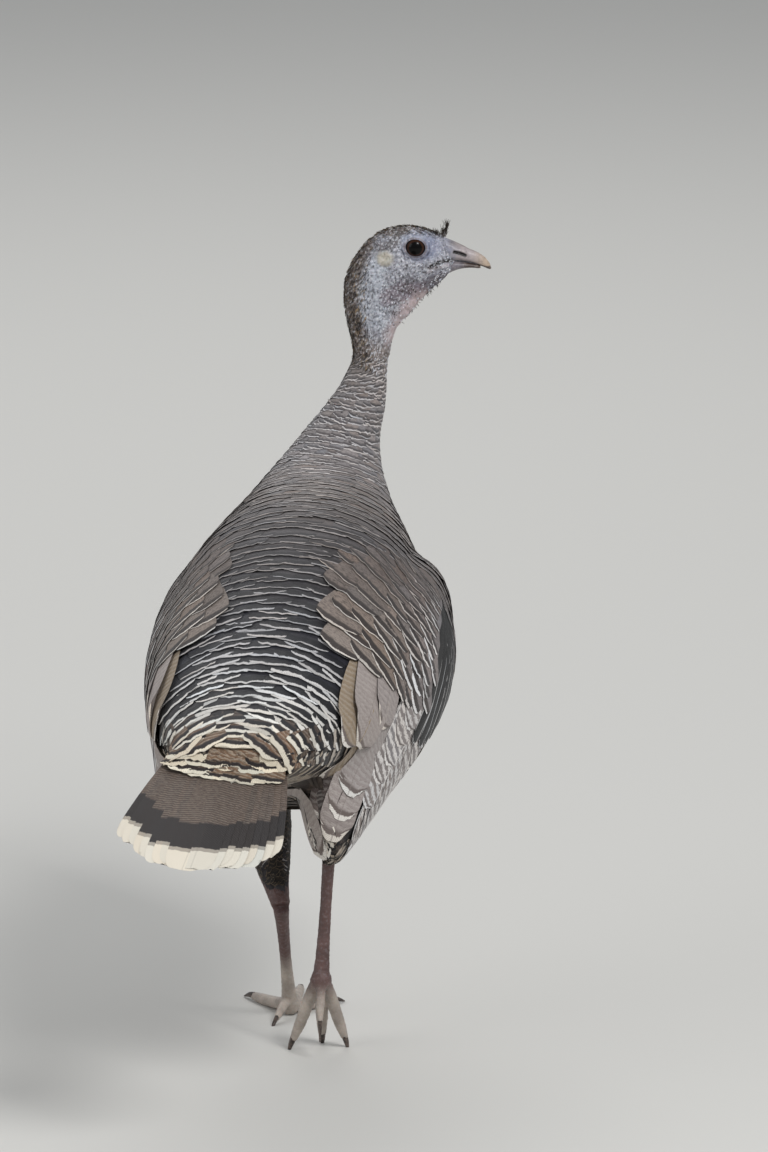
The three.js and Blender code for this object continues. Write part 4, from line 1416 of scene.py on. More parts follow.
# %% Tract lines
BODY_LINE = [
    (-2, -310, 304, 24, 0, 150),
    (0, -276, 305, 24, 0, 170),
    (1, -218, 305, 24, 0, 180),
    (2, -148, 306, 20, 0, 180),
    (2, -66, 309, 14, 0, 180),
    (1, 18, 318, 14, 0, 180),
    (-2, 92, 340, 25, 0, 160),
    (-4, 143, 377, 42, 0, 130),
    (-6, 176, 417, 58, 0, 85),
    (2, 191, 456, 70, 0, 55),
    (19, 199, 492, 79, -10, 38),
    (25.5, 204, 518, 86, -32, 30),
    (28.1, 206, 529.3, 93, -60, 28),
]
PRIMARY_LINE = [
    (94, 98, 331, 10, 6, 70),
    (104, 62, 324, 12, 6, 80),
    (108, 0, 308, 18, 1, 80),
    (100, -60, 284, 26, -8, 80),
    (82, -112, 252, 34, -14, 70),
    (70, -150, 228, 38, -18, 60),
]
WING_SPREAD = {"right": 3, "left": -2}
SIDES = {"right": 1, "left": -1}


def on_side(line, side, spread):
    """A right-hand line, moved out by spread and mirrored for the left."""
    sign = SIDES[side]
    return [(sign * (x + spread), y, z, pitch, sign * turn, reach) for x, y, z, pitch, turn, reach in line]


body = Tract(BODY_LINE, 0.25, 12.0, 110, form, heading=1)
primaries = {}
for side, sign in SIDES.items():
    line = on_side(PRIMARY_LINE, side, WING_SPREAD[side])
    primaries[side] = Tract(line, 0.1, 4.95, 40, primary_form, heading=-1, mirror=sign, guide=90)
print("body line", round(body.run[-1]), "mm, primary line", round(primaries["right"].run[-1]), "mm")

# %% [markdown]
# ## Body feathers
# From the tail's root to the top of the neck. Feathers whose tips lie on a wing are left to the wing.
# Under the body they are plain and dark, and on the throat side of the neck they are thin and pale, so
# that the skin shows between them.

# %% Body plumage
CLOAK_EDGE = {
    # along the body, and how far right or left of the middle the edge of the back's cloak lies
    "right": ([-252, -220, -180, -140, -100, -60, -20, 30], [66, 61, 52, 45, 36, 32, 38, 60]),
    "left": ([-252, -220, -180, -140, -100, -60, -20, 30], [-54, -50, -46, -44, -42, -40, -44, -64]),
}
WING_FRONT = ([40, 70, 95], [-75, -20, 26])
WING_EDGE = ([-256, -224, -182, -133, -77, -20, 26], [205, 206, 217, 233, 259, 277, 287])


def on_wing(places, side=None, margin=0.0):
    """Whether points of the form belong to a wing's tract: to either wing's, or to one side's."""
    x, y, z = (places - SHIFT).T
    right = (x > np.interp(y, *CLOAK_EDGE["right"]) + margin) & (side != "left")
    left = (x < np.interp(y, *CLOAK_EDGE["left"]) - margin) & (side != "right")
    behind = (y < np.interp(np.abs(x), *WING_FRONT)) & (y > -256)
    return (right | left) & behind & (z > np.interp(y, *WING_EDGE))


def unwrap_place(angles, us, span):
    """Where roots are placed on the OFBake map: round the body across the map, along it upwards."""
    across = 0.02 + 0.96 * np.mod(np.asarray(angles) / 360 + 0.5, 1.0)
    up = 0.02 + 0.96 * np.clip((us - span[0]) / (span[1] - span[0]), 0, 1)
    return np.stack([across, up], 1)


def body_plumage(name, tips, seed):
    rng = np.random.default_rng(seed)
    us, places = tips["u"], tips["place"]
    count = len(us)
    _, normal = form.nearest(places)
    ahead = normal @ np.array([0.8, 0.6, 0.0])
    trunk_part = smooth(9.0, 8.2, us)
    under = smooth(0.1, -0.4, normal[:, 2]) * trunk_part
    breast = smooth(0.1, 0.75, normal[:, 1]) * trunk_part
    throat = smooth(-0.1, 0.55, ahead) * smooth(8.8, 10.0, us)
    ground = blend_in(plan_colour("body", "ground", us), 0.85 * np.maximum(under, breast), tone("3d342e"))
    ground = blend_in(ground, 0.6 * throat, tone("958b87"))
    band = blend_in(plan_colour("body", "band", us), 0.8 * np.maximum(under, breast), tone("1f1b1a"))
    fringe = blend_in(plan_colour("body", "fringe", us), 0.7 * np.maximum(under, breast), tone("8d7a66"))
    fringe = blend_in(fringe, 0.6 * throat, tone("d0cbc9"))
    length = plan_value("body", "length", us) * rng.uniform(0.94, 1.06, count)
    half = plan_value("body", "half", us) * rng.uniform(0.9, 1.12, count) * (1 - 0.25 * throat)
    root = -np.clip(length * 0.11, 1.2, 5.5)
    grid, normals, from_tip, widths = lay(
        tail_form, CONTOUR, places, tips["lie"], length, half, root,
        tip=np.interp(us, [0.2, 1.2, 10, 12], [2.4, 0.4, 0.2, 0.6]),
        blunt=np.interp(us, [0, 2, 8, 10], [0.10, 0.12, 0.14, 0.3]),
        camber=half * 0.035,
        ragged=np.interp(us, [0, 3, 8], [0.9, 0.65, 0.4]),
        seed=seed,
    )
    marks = plan_marks("body", us, rng, ground, band, fringe)
    patch = unwrap_place(tips["angle"], us, (0, 12.6))
    return vane_piece(name, grid, normals, np.full(count, 0.3), from_tip, widths, marks, patch)


body_tips = tract_tips(body, "body", 0.27, 11.75, spread=1.0)
keep = ~on_wing(body_tips["place"], margin=11.0)
for name, low, high, seed in (
    ("plumage_rump", 0.0, 3.0, 101),
    ("plumage_back", 3.0, 7.0, 102),
    ("plumage_neck", 7.0, 13.0, 103),
):
    chosen = keep & (body_tips["u"] >= low) & (body_tips["u"] < high)
    body_plumage(name, {key: value[chosen] for key, value in body_tips.items()}, seed)

# %% [markdown]
# ## The folded wing's fan
# In a folded wing every feather points away from the wrist, the joint at the wing's front corner. So
# places on the wing are written as a distance from the wrist and an angle, 0 towards the wing's point
# and growing towards the back. Spokes walked out over the form find them.

# %% Spokes from the wrist
WRIST = np.array([103.0, 40.0, 372.0])
WING_POINT = np.array([60.0, -235.0, 209.0])
SPOKE_STEP, SPOKE_REACH = 5.0, 330.0
SPOKE_ANGLES = np.arange(-80.0, 121.0, 2.5)


def side_point(point, side):
    """A point of the right side's body frame, moved out and mirrored as the wings are."""
    x, y, z = point
    return np.array([SIDES[side] * (x + WING_SPREAD[side]), y, z]) + SHIFT


class Fan:
    """Points of the form by distance and angle round the wrist of one wing."""

    def __init__(self, side, surface):
        self.hub, normal = surface.nearest(side_point(WRIST, side))
        ahead = side_point(WING_POINT, side) - self.hub
        ahead = unit(ahead - normal * (ahead @ normal))
        inward = np.cross(normal, ahead) * -SIDES[side]
        turn = np.radians(SPOKE_ANGLES)[:, None]
        way = ahead * np.cos(turn) + inward * np.sin(turn)
        spot = np.tile(self.hub, (len(way), 1))
        walked = [spot]
        for _ in range(int(SPOKE_REACH / SPOKE_STEP)):
            spot, normals = surface.nearest(spot + way * SPOKE_STEP)
            way = unit(way - normals * np.sum(way * normals, 1)[:, None])
            walked.append(spot)
        self.grid = np.array(walked)

    def spot(self, reach, angle):
        last, spokes = len(self.grid) - 1, len(SPOKE_ANGLES)
        row = np.clip(np.asarray(reach, float) / SPOKE_STEP, 0, last - 0.001)
        column = np.clip(np.interp(angle, SPOKE_ANGLES, np.arange(spokes)), 0, spokes - 1.001)
        i, j = row.astype(int), column.astype(int)
        s, t = (row - i)[:, None], (column - j)[:, None]
        near = self.grid[i, j] * (1 - t) + self.grid[i, j + 1] * t
        far = self.grid[i + 1, j] * (1 - t) + self.grid[i + 1, j + 1] * t
        return near * (1 - s) + far * s

    def flow(self, reach, angle):
        return unit(self.spot(reach + 3, angle) - self.spot(np.maximum(reach - 3, 0), angle))


fans = {side: Fan(side, form) for side in SIDES}
print("wrists at", [np.round(fan.hub - SHIFT) for fan in fans.values()])

# %% [markdown]
# ## Wing coverts
# Rows of coverts roof the folded wing and grow larger away from the wrist. Near the back they are grey
# and brown with a dark bar, and on the outer side they are narrow with whitish edges.

# %% Coverts
COVERT_ROWS = [13, 24, 35, 47, 59, 72, 86, 101, 117, 134, 152, 172, 194, 218]
COVERT_SPAN = (-16, 100)
COVERT_END = ([-12, -2, 8, 15, 25, 35, 50], [130, 160, 178, 192, 215, 228, 236])
COVERT_EDGE = ([15, 85, 125, 170], [8, 1, -9, -12])
COVERT_LIE = np.array([-0.22, -0.95, -0.20])


def wing_coverts(side, seed):
    rng = np.random.default_rng(seed)
    fan = fans[side]
    reach, angle = [], []
    for number, row in enumerate(COVERT_ROWS):
        half = plan_value("wing", "half", row)
        step = np.degrees(1.1 * half / max(row, 20))
        angles = np.arange(COVERT_SPAN[0] + (number % 2) * step / 2, COVERT_SPAN[1], step)
        ends = np.interp(angles, *COVERT_END) / COVERT_ROWS[-1]
        reach.append(row * ends + rng.normal(0, 1.4, len(angles)))
        angle.append(angles + rng.normal(0, 0.06 * step, len(angles)))
    reach, angle = np.concatenate(reach), np.concatenate(angle)
    places, lie = fan.spot(reach, angle), fan.flow(reach, angle)
    straight = COVERT_LIE * [SIDES[side], 1, 1]
    lie = unit(lie + 2.5 * straight * smooth(10, 70, reach)[:, None])
    chosen = on_wing(places, side) & (angle > np.interp(reach, *COVERT_EDGE))
    reach, angle, places, lie = reach[chosen], angle[chosen], places[chosen], lie[chosen]
    x, y, z = (places - SHIFT).T
    behind = np.interp(np.abs(x), *WING_FRONT) - y
    count = len(reach)
    outer = smooth(24, 2, angle)
    length = plan_value("wing", "length", reach) * rng.uniform(0.95, 1.05, count)
    half = plan_value("wing", "half", reach) * rng.uniform(0.92, 1.1, count) * (1 - 0.3 * outer)
    lift = np.minimum(np.interp(reach, [10, 40, 100, 220], [0.4, 1.0, 1.9, 3.6]), 0.5 + 0.03 * behind)
    grid, normals, from_tip, widths = lay(
        form, CONTOUR, places, lie, length, half, lift - length * 0.075,
        tip=lift, blunt=np.full(count, 0.3), camber=half * 0.03, ragged=np.full(count, 0.5), seed=seed,
    )
    inner = smooth(26, 46, angle)
    ground = blend_in(plan_colour("wing", "ground", reach), 0.5 * inner, tone("665a54"))
    ground = blend_in(ground, 0.4 * outer, tone("989092"))
    fringe = blend_in(plan_colour("wing", "fringe", reach), 0.8 * outer, tone("e2e0df"))
    fringe = blend_in(fringe, 0.5 * inner, tone("998d84"))
    marks = plan_marks("wing", reach, rng, ground=ground, fringe=fringe)
    marks["edges"][:, 0] *= 1 + 1.1 * outer - 0.5 * inner
    marks["edges"][:, 1] *= 1 - 0.4 * inner
    marks["trim"][:, 2] += 0.3 * inner
    patch = unwrap_place(angle * SIDES[side], reach, (0, 340))
    vane_piece(f"coverts_{side}", grid, normals, np.full(count, 0.35), from_tip, widths, marks, patch)


wing_coverts("right", 201)
wing_coverts("left", 202)

# %% [markdown]
# ## Flight feathers of the folded wing
# Long stiff quills. The innermost, the tertials, lie on top with their tips stepped one beyond the
# other towards the wing's point. The secondaries come out from under them along the lower edge and show
# only their barred outer webs. The primaries are folded against the flank below, black barred with
# white.

# %% Tertials and secondaries
TERTIAL_HUB = (85.0, -20.0, 430.0)
TERTIALS = [
    # tip x, y, z on the right side, half width, length, height over the form, ground colour
    (77, -218, 302, 25, 130, 3.9, "a59b97"),
    (69, -240, 307, 20, 120, 3.0, "93826c"),
    (87, -176, 306, 19, 105, 3.2, "a09693"),
    (72, -217, 259, 20, 150, 3.1, "9b918d"),
    (67, -231, 242, 18, 160, 2.7, "9b918d"),
    (62, -236, 226, 17, 170, 2.4, "958b87"),
    (60, -234, 213, 15, 175, 2.1, "a39994"),
    (62, -240, 268, 17, 150, 1.5, "8b7b67"),
    # The two lowest tertials are near black: partly their own dark inner webs, partly painted shade under the
    # tertials above.
    (52, -240, 246, 14, 160, 1.3, "4a4140"),
    (50, -238, 228, 13, 165, 1.2, "3c3635"),
]
SECONDARY_HUB = (104.0, 30.0, 392.0)
SECONDARIES = [
    (83, -198, 247, 18, 130, 2.3),
    (90, -178, 262, 18, 120, 2.25),
    (95, -158, 272, 18, 115, 2.2),
    (100, -138, 283, 17, 105, 2.1),
    (104, -119, 292, 16, 95, 2.0),
    (64, -224, 210, 19, 170, 1.9),
    (69, -211, 213, 19, 166, 1.75),
    (74, -197, 217, 19, 160, 1.6),
    (79, -182, 221, 19, 155, 1.45),
    (84, -166, 226, 19, 150, 1.3),
    (88, -150, 231, 18, 145, 1.15),
    (92, -133, 237, 18, 140, 1.0),
    (96, -115, 244, 17, 135, 0.85),
    (99, -96, 253, 16, 130, 0.7),
    (102, -77, 263, 15, 120, 0.55),
]
EDGE_QUILLS = [
    # distance from the wrist, angle, half width, length, height
    (176, -11, 7, 150, 2.2),
    (166, -17, 7, 150, 1.9),
    (154, -23, 7, 145, 1.6),
    (142, -29, 7, 140, 1.3),
    (128, -35, 7, 130, 1.0),
    (112, -42, 7, 115, 0.7),
    (96, -50, 7, 100, 0.4),
]


def wing_quills(side, tips, half, length, height, hub, seed, blunt=0.45):
    """Grids of long feathers that point away from a hub, and their patches."""
    count = len(tips)
    laid = lay(
        form, QUILL, tips, unit(tips - hub), length, half, -0.7, tip=height, camber=half * 0.03,
        blunt=np.full(count, blunt), ragged=np.full(count, 0.5), seed=seed, stiff=0.5, hub=hub,
    )
    grid, normals, from_tip, widths = laid
    reach = np.linalg.norm(tips - fans[side].hub, axis=1)
    patch = unwrap_place(np.linspace(-60, 60, count) * SIDES[side], reach, (0, 340))
    return (grid, normals, np.full(count, 0.5), from_tip, widths), patch


def quill_marks(rng, ground, band, fringe, edges, manner, trim):
    """Marks of long feathers: ground is a list of codes, the rest is the same for all."""
    count = len(ground)
    return {
        "ground": vary(rng, np.array([tone(code) for code in ground]), 0.05, 0.02),
        "band": vary(rng, np.tile(tone(band), (count, 1)), 0.06, 0.02),
        "fringe": vary(rng, np.tile(tone(fringe), (count, 1)), 0.05, 0.02),
        "edges": triple(count, *edges),
        "manner": triple(count, *manner),
        "trim": triple(count, *trim),
        "chance": rng.uniform(0, 40, count),
    }


def flight_feathers(side, seed):
    rng = np.random.default_rng(seed)
    table = np.array([entry[:6] for entry in TERTIALS], float)
    tips = np.array([side_point(tip, side) for tip in table[:, :3]])
    codes = [entry[6] for entry in TERTIALS]
    marks = quill_marks(rng, codes, "6a5f5a", "ddd6cd", (3.2, 4.2, 0.0), (0.16, 0.2, 1.0), (99.0, 0.5, 0.35))
    laid, patch = wing_quills(side, tips, *table[:, 3:].T, side_point(TERTIAL_HUB, side), seed, blunt=0.62)
    vane_piece(f"tertials_{side}", *laid, marks, patch, "quills")

    table = np.array(SECONDARIES, float)
    tips = np.array([side_point(tip, side) for tip in table[:, :3]])
    codes = ["8a8280"] * len(tips)
    marks = quill_marks(rng, codes, "6b6361", "e2dedb", (2.4, 3.0, 0.0), (0.9, 0.2, 0.62), (16.5, 0.6, 0.25))
    laid, patch = wing_quills(side, tips, *table[:, 3:].T, side_point(SECONDARY_HUB, side), seed + 1)
    vane_piece(f"secondaries_{side}", *laid, marks, patch, "quills")

    reach, angle, half, length, height = np.array(EDGE_QUILLS, float).T
    tips = fans[side].spot(reach, angle)
    codes = ["0c0b0c"] * len(tips)
    marks = quill_marks(rng, codes, "080708", "cfcdcc", (0.6, 3.0, 0.0), (0.0, 0.1, 0.3), (5.5, 0.8, 0.3))
    laid, patch = wing_quills(side, tips, half, length, height, fans[side].hub, seed + 2)
    vane_piece(f"edge_quills_{side}", *laid, marks, patch, "quills")


flight_feathers("right", 211)
flight_feathers("left", 221)

# %% Primaries
PRIMARY_FAN = [
    # tip u, tip angle, half width, length, height
    (4.35, 8, 10, 190, 2.6),
    (4.5, 32, 10, 200, 2.2),
    (4.6, 56, 10, 205, 1.8),
    (4.7, 80, 10, 210, 1.5),
    (4.78, 102, 10, 212, 1.2),
    (4.7, 124, 10, 208, 0.9),
    (4.55, 146, 9, 200, 0.6),
    (4.3, 168, 9, 190, 0.4),
]
INNER_FAN = [(4.4, 200, 11, 190, 0.6), (4.5, 235, 11, 195, 0.6), (4.4, 272, 11, 195, 0.6), (4.2, 318, 11, 190, 0.8)]


def quills(tract, surface, entries, seed, thick):
    """Grids of long feathers from entries of tip u, tip angle, half width, length and height."""
    us, angles, half, length, height = np.array(entries, float).T
    tips, lie = tract.spot(us, angles), tract.flow(us, angles)
    count = len(us)
    grid, normals, from_tip, widths = lay(
        surface, QUILL, tips, lie, length, half, -2.2, tip=height, camber=half * 0.04,
        blunt=np.full(count, 0.45), ragged=np.full(count, 0.5), seed=seed, stiff=0.5,
    )
    return grid, normals, np.full(count, thick), from_tip, widths


def primary_feathers(side, seed):
    rng = np.random.default_rng(seed)
    entries = PRIMARY_FAN + INNER_FAN
    count = len(entries)
    marks = {
        "ground": vary(rng, np.tile(tone("232122"), (count, 1)), 0.1, 0.02),
        "band": vary(rng, np.tile(tone("141314"), (count, 1)), 0.1, 0.02),
        "fringe": vary(rng, np.tile(tone("b9b7b6"), (count, 1)), 0.05, 0.02),
        "edges": triple(count, 0.6, 4.0, 0.0),
        "manner": triple(count, 0.55, 0.75, 0.5),
        "trim": triple(count, 9.0, 0.8, 0.3),
        "chance": rng.uniform(0, 40, count),
    }
    angles = np.array(entries)[:, 1]
    patch = unwrap_place(angles * SIDES[side], np.array(entries)[:, 0], (0, 5.2))
    laid = quills(primaries[side], primary_form, entries, seed, thick=0.45)
    piece = vane_piece(f"primary_quills_{side}", *laid, marks, patch, "quills")
    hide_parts(f"primaries_{side}")


primary_feathers("right", 231)
primary_feathers("left", 241)

# %% [markdown]
# ## Tail
# Eighteen feathers fan out from the root, the middle pair on top and each pair outwards a little lower.
# Brown and finely barred, they end in a black band and a ragged pale tip.

# %% Tail feathers
TAIL_ROOT = np.array([-2.0, -258.0, 318.0]) + SHIFT
TAIL_TIP = np.array([-15.0, -430.0, 251.0]) + SHIFT
TAIL_ROLL = math.radians(-5)
TAIL_HALF = {"root": 26.0, "tip": 51.0}
TAIL_SHORTFALL = 56.0
RECTRICES = 18
RECTRIX_HALF = 17.0
TAIL_TOP = 3.4
TAIL_STACK = 0.24
TAIL_WEAR = 2.2

tail_way = TAIL_TIP - TAIL_ROOT
tail_length = np.linalg.norm(tail_way)
tail_way = tail_way / tail_length
level = unit(np.cross(tail_way, UP))
level = level if level[0] > 0 else -level
tail_up = np.cross(level, tail_way)
tail_up = tail_up if tail_up[2] > 0 else -tail_up
tail_side = level * math.cos(TAIL_ROLL) + tail_up * math.sin(TAIL_ROLL)
tail_over = tail_up * math.cos(TAIL_ROLL) - level * math.sin(TAIL_ROLL)


def tail_fan(count, half, length_share, drop, seed, ragged):
    """Grids of tail feathers. drop is how far the whole fan lies below the tail's top."""
    rng = np.random.default_rng(seed)
    share = (np.arange(count) - (count - 1) / 2) / ((count - 1) / 2)
    rank = np.abs(share) * (count - 1) / 2 + (share < 0) * 0.4
    root = TAIL_ROOT + tail_side * (share * TAIL_HALF["root"])[:, None]
    shortfall = TAIL_SHORTFALL * np.abs(share * (TAIL_HALF["tip"] / 67)) ** 2.6
    reach = tail_length * length_share - shortfall + rng.normal(0, TAIL_WEAR, count)
    tip = TAIL_ROOT + tail_way * reach[:, None] + tail_side * (share * TAIL_HALF["tip"])[:, None]
    along, across = QUILL["along"], QUILL["across"]
    t = along[None, :, None]
    centre = root[:, None] * (1 - t) + tip[:, None] * t
    way = unit(tip - root)
    cross = unit(np.cross(way, tail_over))
    cross = np.where((cross @ tail_side)[:, None] < 0, -cross, cross)
    side = np.linspace(-1, 1, across)
    widths = half * np.broadcast_to(QUILL["wide"], (count, len(along)))
    grid = centre[:, :, None] + cross[:, None, None] * (widths[:, :, None] * side)[..., None]
    end = along[None, :, None] ** 8
    slip = 0.1 * half * side**2 * end + rng.normal(0, 1, (count, 1, across)) * ragged * end
    grid = grid - way[:, None, None] * slip[..., None]
    outward = np.sign(share)[:, None, None]
    height = TAIL_TOP - drop - TAIL_STACK * rank[:, None, None] - 0.2 * side**2 + 0.1 * side * outward
    sag = 2.0 * (share[:, None, None] * (0.5 + 0.5 * t)) ** 2 + 1.2 * (t - 0.5) ** 2 * 4
    thin = 1 - 0.35 * t
    grid = grid + tail_over * ((height * thin) - sag + 1.2)[..., None]
    normals = np.broadcast_to(tail_over, (count, len(along), 3))
    length = np.linalg.norm(tip - root, axis=1)
    from_tip = length[:, None, None] * (1 - t) + np.zeros((count, 1, across))
    return grid, normals, np.full(count, 0.25), from_tip, widths


rng = np.random.default_rng(301)
tail_marks = {
    "ground": vary(rng, np.tile(tone("57483f"), (RECTRICES, 1)), 0.06, 0.02),
    "band": vary(rng, np.tile(tone("2b2625"), (RECTRICES, 1)), 0.05, 0.02),
    "fringe": vary(rng, np.tile(tone("ded7c8"), (RECTRICES, 1)), 0.04, 0.02),
    "edges": triple(RECTRICES, rng.uniform(20, 24, RECTRICES), 32.0, 4.5),
    "manner": triple(RECTRICES, 0.12, 0.25, 2.3),
    "trim": triple(RECTRICES, 99.0, 0.15, 0.5),
    "chance": rng.uniform(0, 40, RECTRICES),
}
tail_patch = np.stack([0.3 + 0.4 * np.arange(RECTRICES) / RECTRICES, np.full(RECTRICES, 0.012)], 1)
laid = tail_fan(RECTRICES, RECTRIX_HALF, 1.0, 0.0, 302, 1.3)
tail_piece = vane_piece("tail_quills", *laid, tail_marks, tail_patch, "quills")
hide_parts("tail")

# %% [markdown]
# ## Coverts of the tail's root
# Two last rows slope from the rump down onto the tail and hide where its feathers come out.

# %% Tail coverts
COVERT_REACHES = ((74, 1.0), (62, 1.5))
COVERT_PITCH, COVERT_SPREAD = 9.5, 42.0


def tail_coverts(seed):
    rng = np.random.default_rng(seed)
    tips, heights = [], []
    for number, (reach, height) in enumerate(COVERT_REACHES):
        for across in np.arange(-COVERT_SPREAD + (number % 2) * 4.7, COVERT_SPREAD + 1, COVERT_PITCH):
            back = reach - 10 * (across / COVERT_SPREAD) ** 2 + rng.normal(0, 1.5)
            tips.append(TAIL_ROOT + tail_way * back + tail_side * across + tail_over * 6)
            heights.append(height)
    count = len(tips)
    half = rng.uniform(13, 16, count)
    grid, normals, from_tip, widths = lay(
        tail_form, CONTOUR, np.array(tips), np.tile(tail_way, (count, 1)), np.full(count, 58.0), half,
        root=-5.5, tip=np.array(heights), blunt=np.full(count, 0.15), camber=half * 0.03,
        ragged=np.full(count, 1.0), seed=seed, stiff=0.6,
    )
    marks = plan_marks("body", np.full(count, -0.1), rng)
    patch = unwrap_place(np.linspace(-25, 25, count), np.full(count, 0.1), (0, 12.6))
    vane_piece("tail_coverts", grid, normals, np.full(count, 0.35), from_tip, widths, marks, patch)


tail_coverts(311)

# %% [markdown]
# ## Drumsticks
# Short dark feathers that lie down the leg and end just above the scales.

# %% Drumstick feathers
LEG_LINES = {
    # x, y, z, pitch, turn, reach: from the hip down to the hock
    "left": [
        (-44, 34, 262, -82, 0, 60),
        (-42, 38, 236, -84, 0, 55),
        (-37, 28, 196, -62, 0, 45),
        (-28, 12, 168, -56, 0, 36),
        (-20, -6, 140, -56, 0, 26),
    ],
    "right": [
        (48, 26, 266, -70, 0, 55),
        (52, 30, 240, -50, 0, 50),
        (49, 16, 222, -25, 0, 42),
        (46, 2, 214, -24, 0, 36),
        (40, -22, 203, -26, 0, 24),
    ],
}


def leg_feathers(side, seed):
    rng = np.random.default_rng(seed)
    tract = Tract(LEG_LINES[side], 0.3, 3.95, 40, leg_form, heading=-1)
    tips = tract_tips(tract, "leg", 0.4, 3.95, spread=1.0)
    count = len(tips["u"])
    length = plan_value("leg", "length", tips["u"]) * rng.uniform(0.9, 1.1, count)
    half = plan_value("leg", "half", tips["u"]) * rng.uniform(0.9, 1.1, count)
    grid, normals, from_tip, widths = lay(
        leg_form, CONTOUR, tips["place"], tips["lie"], length, half, -length * 0.09,
        tip=np.full(count, 0.6), blunt=np.full(count, 0.7), camber=half * 0.05, ragged=np.full(count, 0.6),
        seed=seed,
    )
    marks = plan_marks("leg", tips["u"], rng)
    patch = unwrap_place(tips["angle"], tips["u"], (0, 4.4))
    vane_piece(f"plumage_leg_{side}", grid, normals, np.full(count, 0.3), from_tip, widths, marks, patch)


leg_feathers("left", 401)
leg_feathers("right", 402)

# %% [markdown]
# ## Hair-like feathers of the head
# The bare head still carries thousands of tiny hair-like feathers: dark on crown and nape, where they
# stand up a little and roughen the outline, and pale flecks on the cheek and down the neck. Each is a
# very small vane laid on the skin.

# %% Head tufts
HAIRS = 5200


def head_tufts():
    rng = np.random.default_rng(501)
    points = head_surface.points
    chosen = points[rng.integers(0, len(points), HAIRS * 4)] + rng.normal(0, 0.6, (HAIRS * 4, 3))
    forward, up, aside = head_places(chosen)
    back_line = np.interp(up, [-40, 0, 40, 80, 104], [2, -4, -8, -2, 8])
    nape = 1 - smooth(-6, 9, forward - back_line)
    crown = smooth(88, 97, up) * (1 - smooth(48, 58, forward))
    dark_place = np.maximum(nape, crown)
    density = 0.55 + 0.45 * dark_place
    density *= smooth(1.35, 2.1, eye_distance(forward, up))
    density *= 1 - smooth(-1, 2, past_bill_edge(forward, up)) * (forward > 50)
    density *= 1 - 0.9 * smooth(1.25, 0.9, np.hypot((forward - EAR[0]) / 9.0, (up - EAR[1]) / 7.0))
    throat = line_distance(forward, up, [(40, 38), (30, 28), (23, 14), (17, 2)])
    density *= 1 - 0.8 * smooth(13, 5, throat)
    density *= 1 - 0.6 * smooth(0.9, 0.4, np.hypot((forward - 46) / 18, (up - 86) / 14))
    density *= smooth(-34, -16, up)
    kept = np.flatnonzero(rng.uniform(0, 1, len(density)) < density)[:HAIRS]
    places, forward, up, dark_place = chosen[kept], forward[kept], up[kept], dark_place[kept]
    count = len(kept)
    swirl = rng.normal(0, 0.25, (count, 1))
    front_share = smooth(20, 60, forward)[:, None]
    way = -FORWARD * (0.35 + 0.65 * front_share) - UP * (0.95 - 0.55 * front_share) + ASIDE * swirl
    length = rng.uniform(1.2, 2.4, count) + 2.4 * dark_place * rng.uniform(0.3, 1, count)
    half = rng.uniform(0.16, 0.3, count)
    grid, normals, from_tip, widths = lay(
        head_surface, HAIR, places, unit(way), length, half, -0.25,
        tip=0.25 + 1.3 * dark_place * rng.uniform(0.2, 1, count), blunt=np.zeros(count),
        camber=half * 0.0, ragged=np.zeros(count), seed=502,
    )
    band = smooth(15, 7, line_distance(forward, up, [(2, 66), (-1, 46), (0, 24), (6, 6)]))
    # Painted shade under the cheek: fewer pale hairs are laid there.
    shade = smooth(1.1, 0.6, np.hypot((forward - 30) / 16, (up - 55) / 11))
    share_pale = np.where(dark_place > 0.5, 0.25, 0.62 + 0.25 * band - 0.35 * shade)
    pale = rng.uniform(0, 1, count) < share_pale
    dark_tone = np.where(rng.uniform(0, 1, (count, 1)) < 0.5, tone("33291f"), tone("241f1f"))
    pale_tone = np.where(dark_place[:, None] > 0.5, tone("b09a7c"), tone("d9dbe2"))
    colours = np.where(pale[:, None], pale_tone, dark_tone)
    marks = {
        "ground": vary(rng, colours, 0.15, 0.03),
        "band": vary(rng, colours, 0.15, 0.03),
        "fringe": vary(rng, colours, 0.15, 0.03),
        "edges": triple(count, 0.0, 0.0, 0.0),
        "manner": triple(count, 0.0, 0.1, 1.0),
        "trim": triple(count, 99.0, 0.0, 0.0),
        "chance": rng.uniform(0, 40, count),
    }
    angles = np.degrees(np.arctan2(head_places(places)[2], forward - 16))
    patch = unwrap_place(angles, up, (-30, 110))
    vane_piece("head_tufts", grid, normals, np.full(count, 0.14), from_tip, widths, marks, patch)


head_tufts()

# %% [markdown]
# ## Bristles
# A tuft of stiff bristles stands on the snood, the fleshy knob over the bill, and a few more hang
# under the jaw and on the throat. They stand off the skin, so they are straight thin vanes.

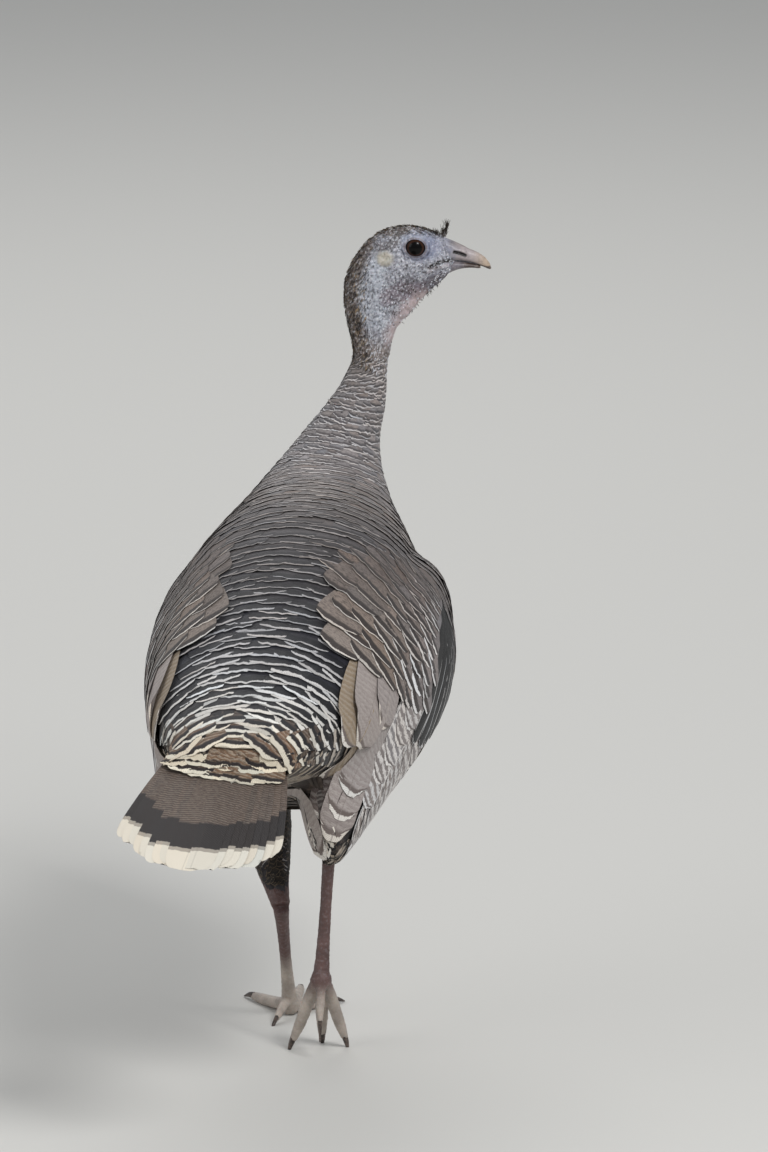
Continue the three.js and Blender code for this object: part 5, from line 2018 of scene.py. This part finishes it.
# %% Head bristles
BRISTLE_GROUPS = [
    # middle forward, up, scatter forward, up, aside, count, way forward, up, length
    (60.0, 99.0, 3.0, 2.4, 2.2, 56, 0.0, 1.0, 7.5),
    (59.0, 96.0, 3.4, 2.2, 3.0, 130, -0.2, 1.0, 4.6),
    (47.0, 48.0, 7.0, 4.5, 2.5, 40, 0.25, -1.0, 4.0),
    (33.0, 31.0, 5.0, 5.0, 2.5, 24, 0.5, -1.0, 3.2),
]


def head_bristles(seed):
    rng = np.random.default_rng(seed)
    roots, ways, lengths = [], [], []
    for ahead, high, scatter_ahead, scatter_high, scatter_aside, count, lean, rise, length in BRISTLE_GROUPS:
        for _ in range(count):
            offset = rng.normal(0, 1, 3) * (scatter_ahead, scatter_high, scatter_aside)
            roots.append(on_head(ahead + offset[0], high + offset[1], offset[2]))
            way = lean * FORWARD + rise * UP + 0.12 * offset[2] * ASIDE
            ways.append(way + rng.normal(0, 0.4, 3))
            lengths.append(length * rng.uniform(0.5, 1.15))
    ways, lengths = unit(np.array(ways)), np.array(lengths)
    roots, _ = head_surface.nearest(np.array(roots))
    count = len(roots)
    t = HAIR["along"][None, :, None]
    centre = roots[:, None] + ways[:, None] * (t * lengths[:, None, None] - 0.4)
    cross = unit(np.cross(ASIDE, ways))
    widths = 0.17 * np.broadcast_to(HAIR["wide"], (count, 3))
    grid = centre[:, :, None] + cross[:, None, None] * (widths[:, :, None] * np.array([-1, 0, 1]))[..., None]
    normals = np.broadcast_to(np.cross(cross, ways)[:, None], (count, 3, 3))
    from_tip = lengths[:, None, None] * (1 - t) + np.zeros((count, 1, 3))
    marks = quill_marks(rng, ["2b221b"] * count, "241d19", "3a2f27", (0, 0, 0), (0, 0.2, 1), (99, 0, 0))
    forward, up, aside = head_places(roots)
    patch = unwrap_place(np.degrees(np.arctan2(aside, forward - 16)), up, (-30, 110))
    vane_piece("head_bristles", grid, normals, np.full(count, 0.2), from_tip, widths, marks, patch)


head_bristles(511)

# %% The size of the finished model
for scratch in scratch_pieces:
    bpy.data.objects.remove(scratch)
visual_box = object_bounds()
boxes = {"cad": cad_box, "visual": visual_box}
boxes = {name: [[round(float(v), 5) for v in corner] for corner in box] for name, box in boxes.items()}
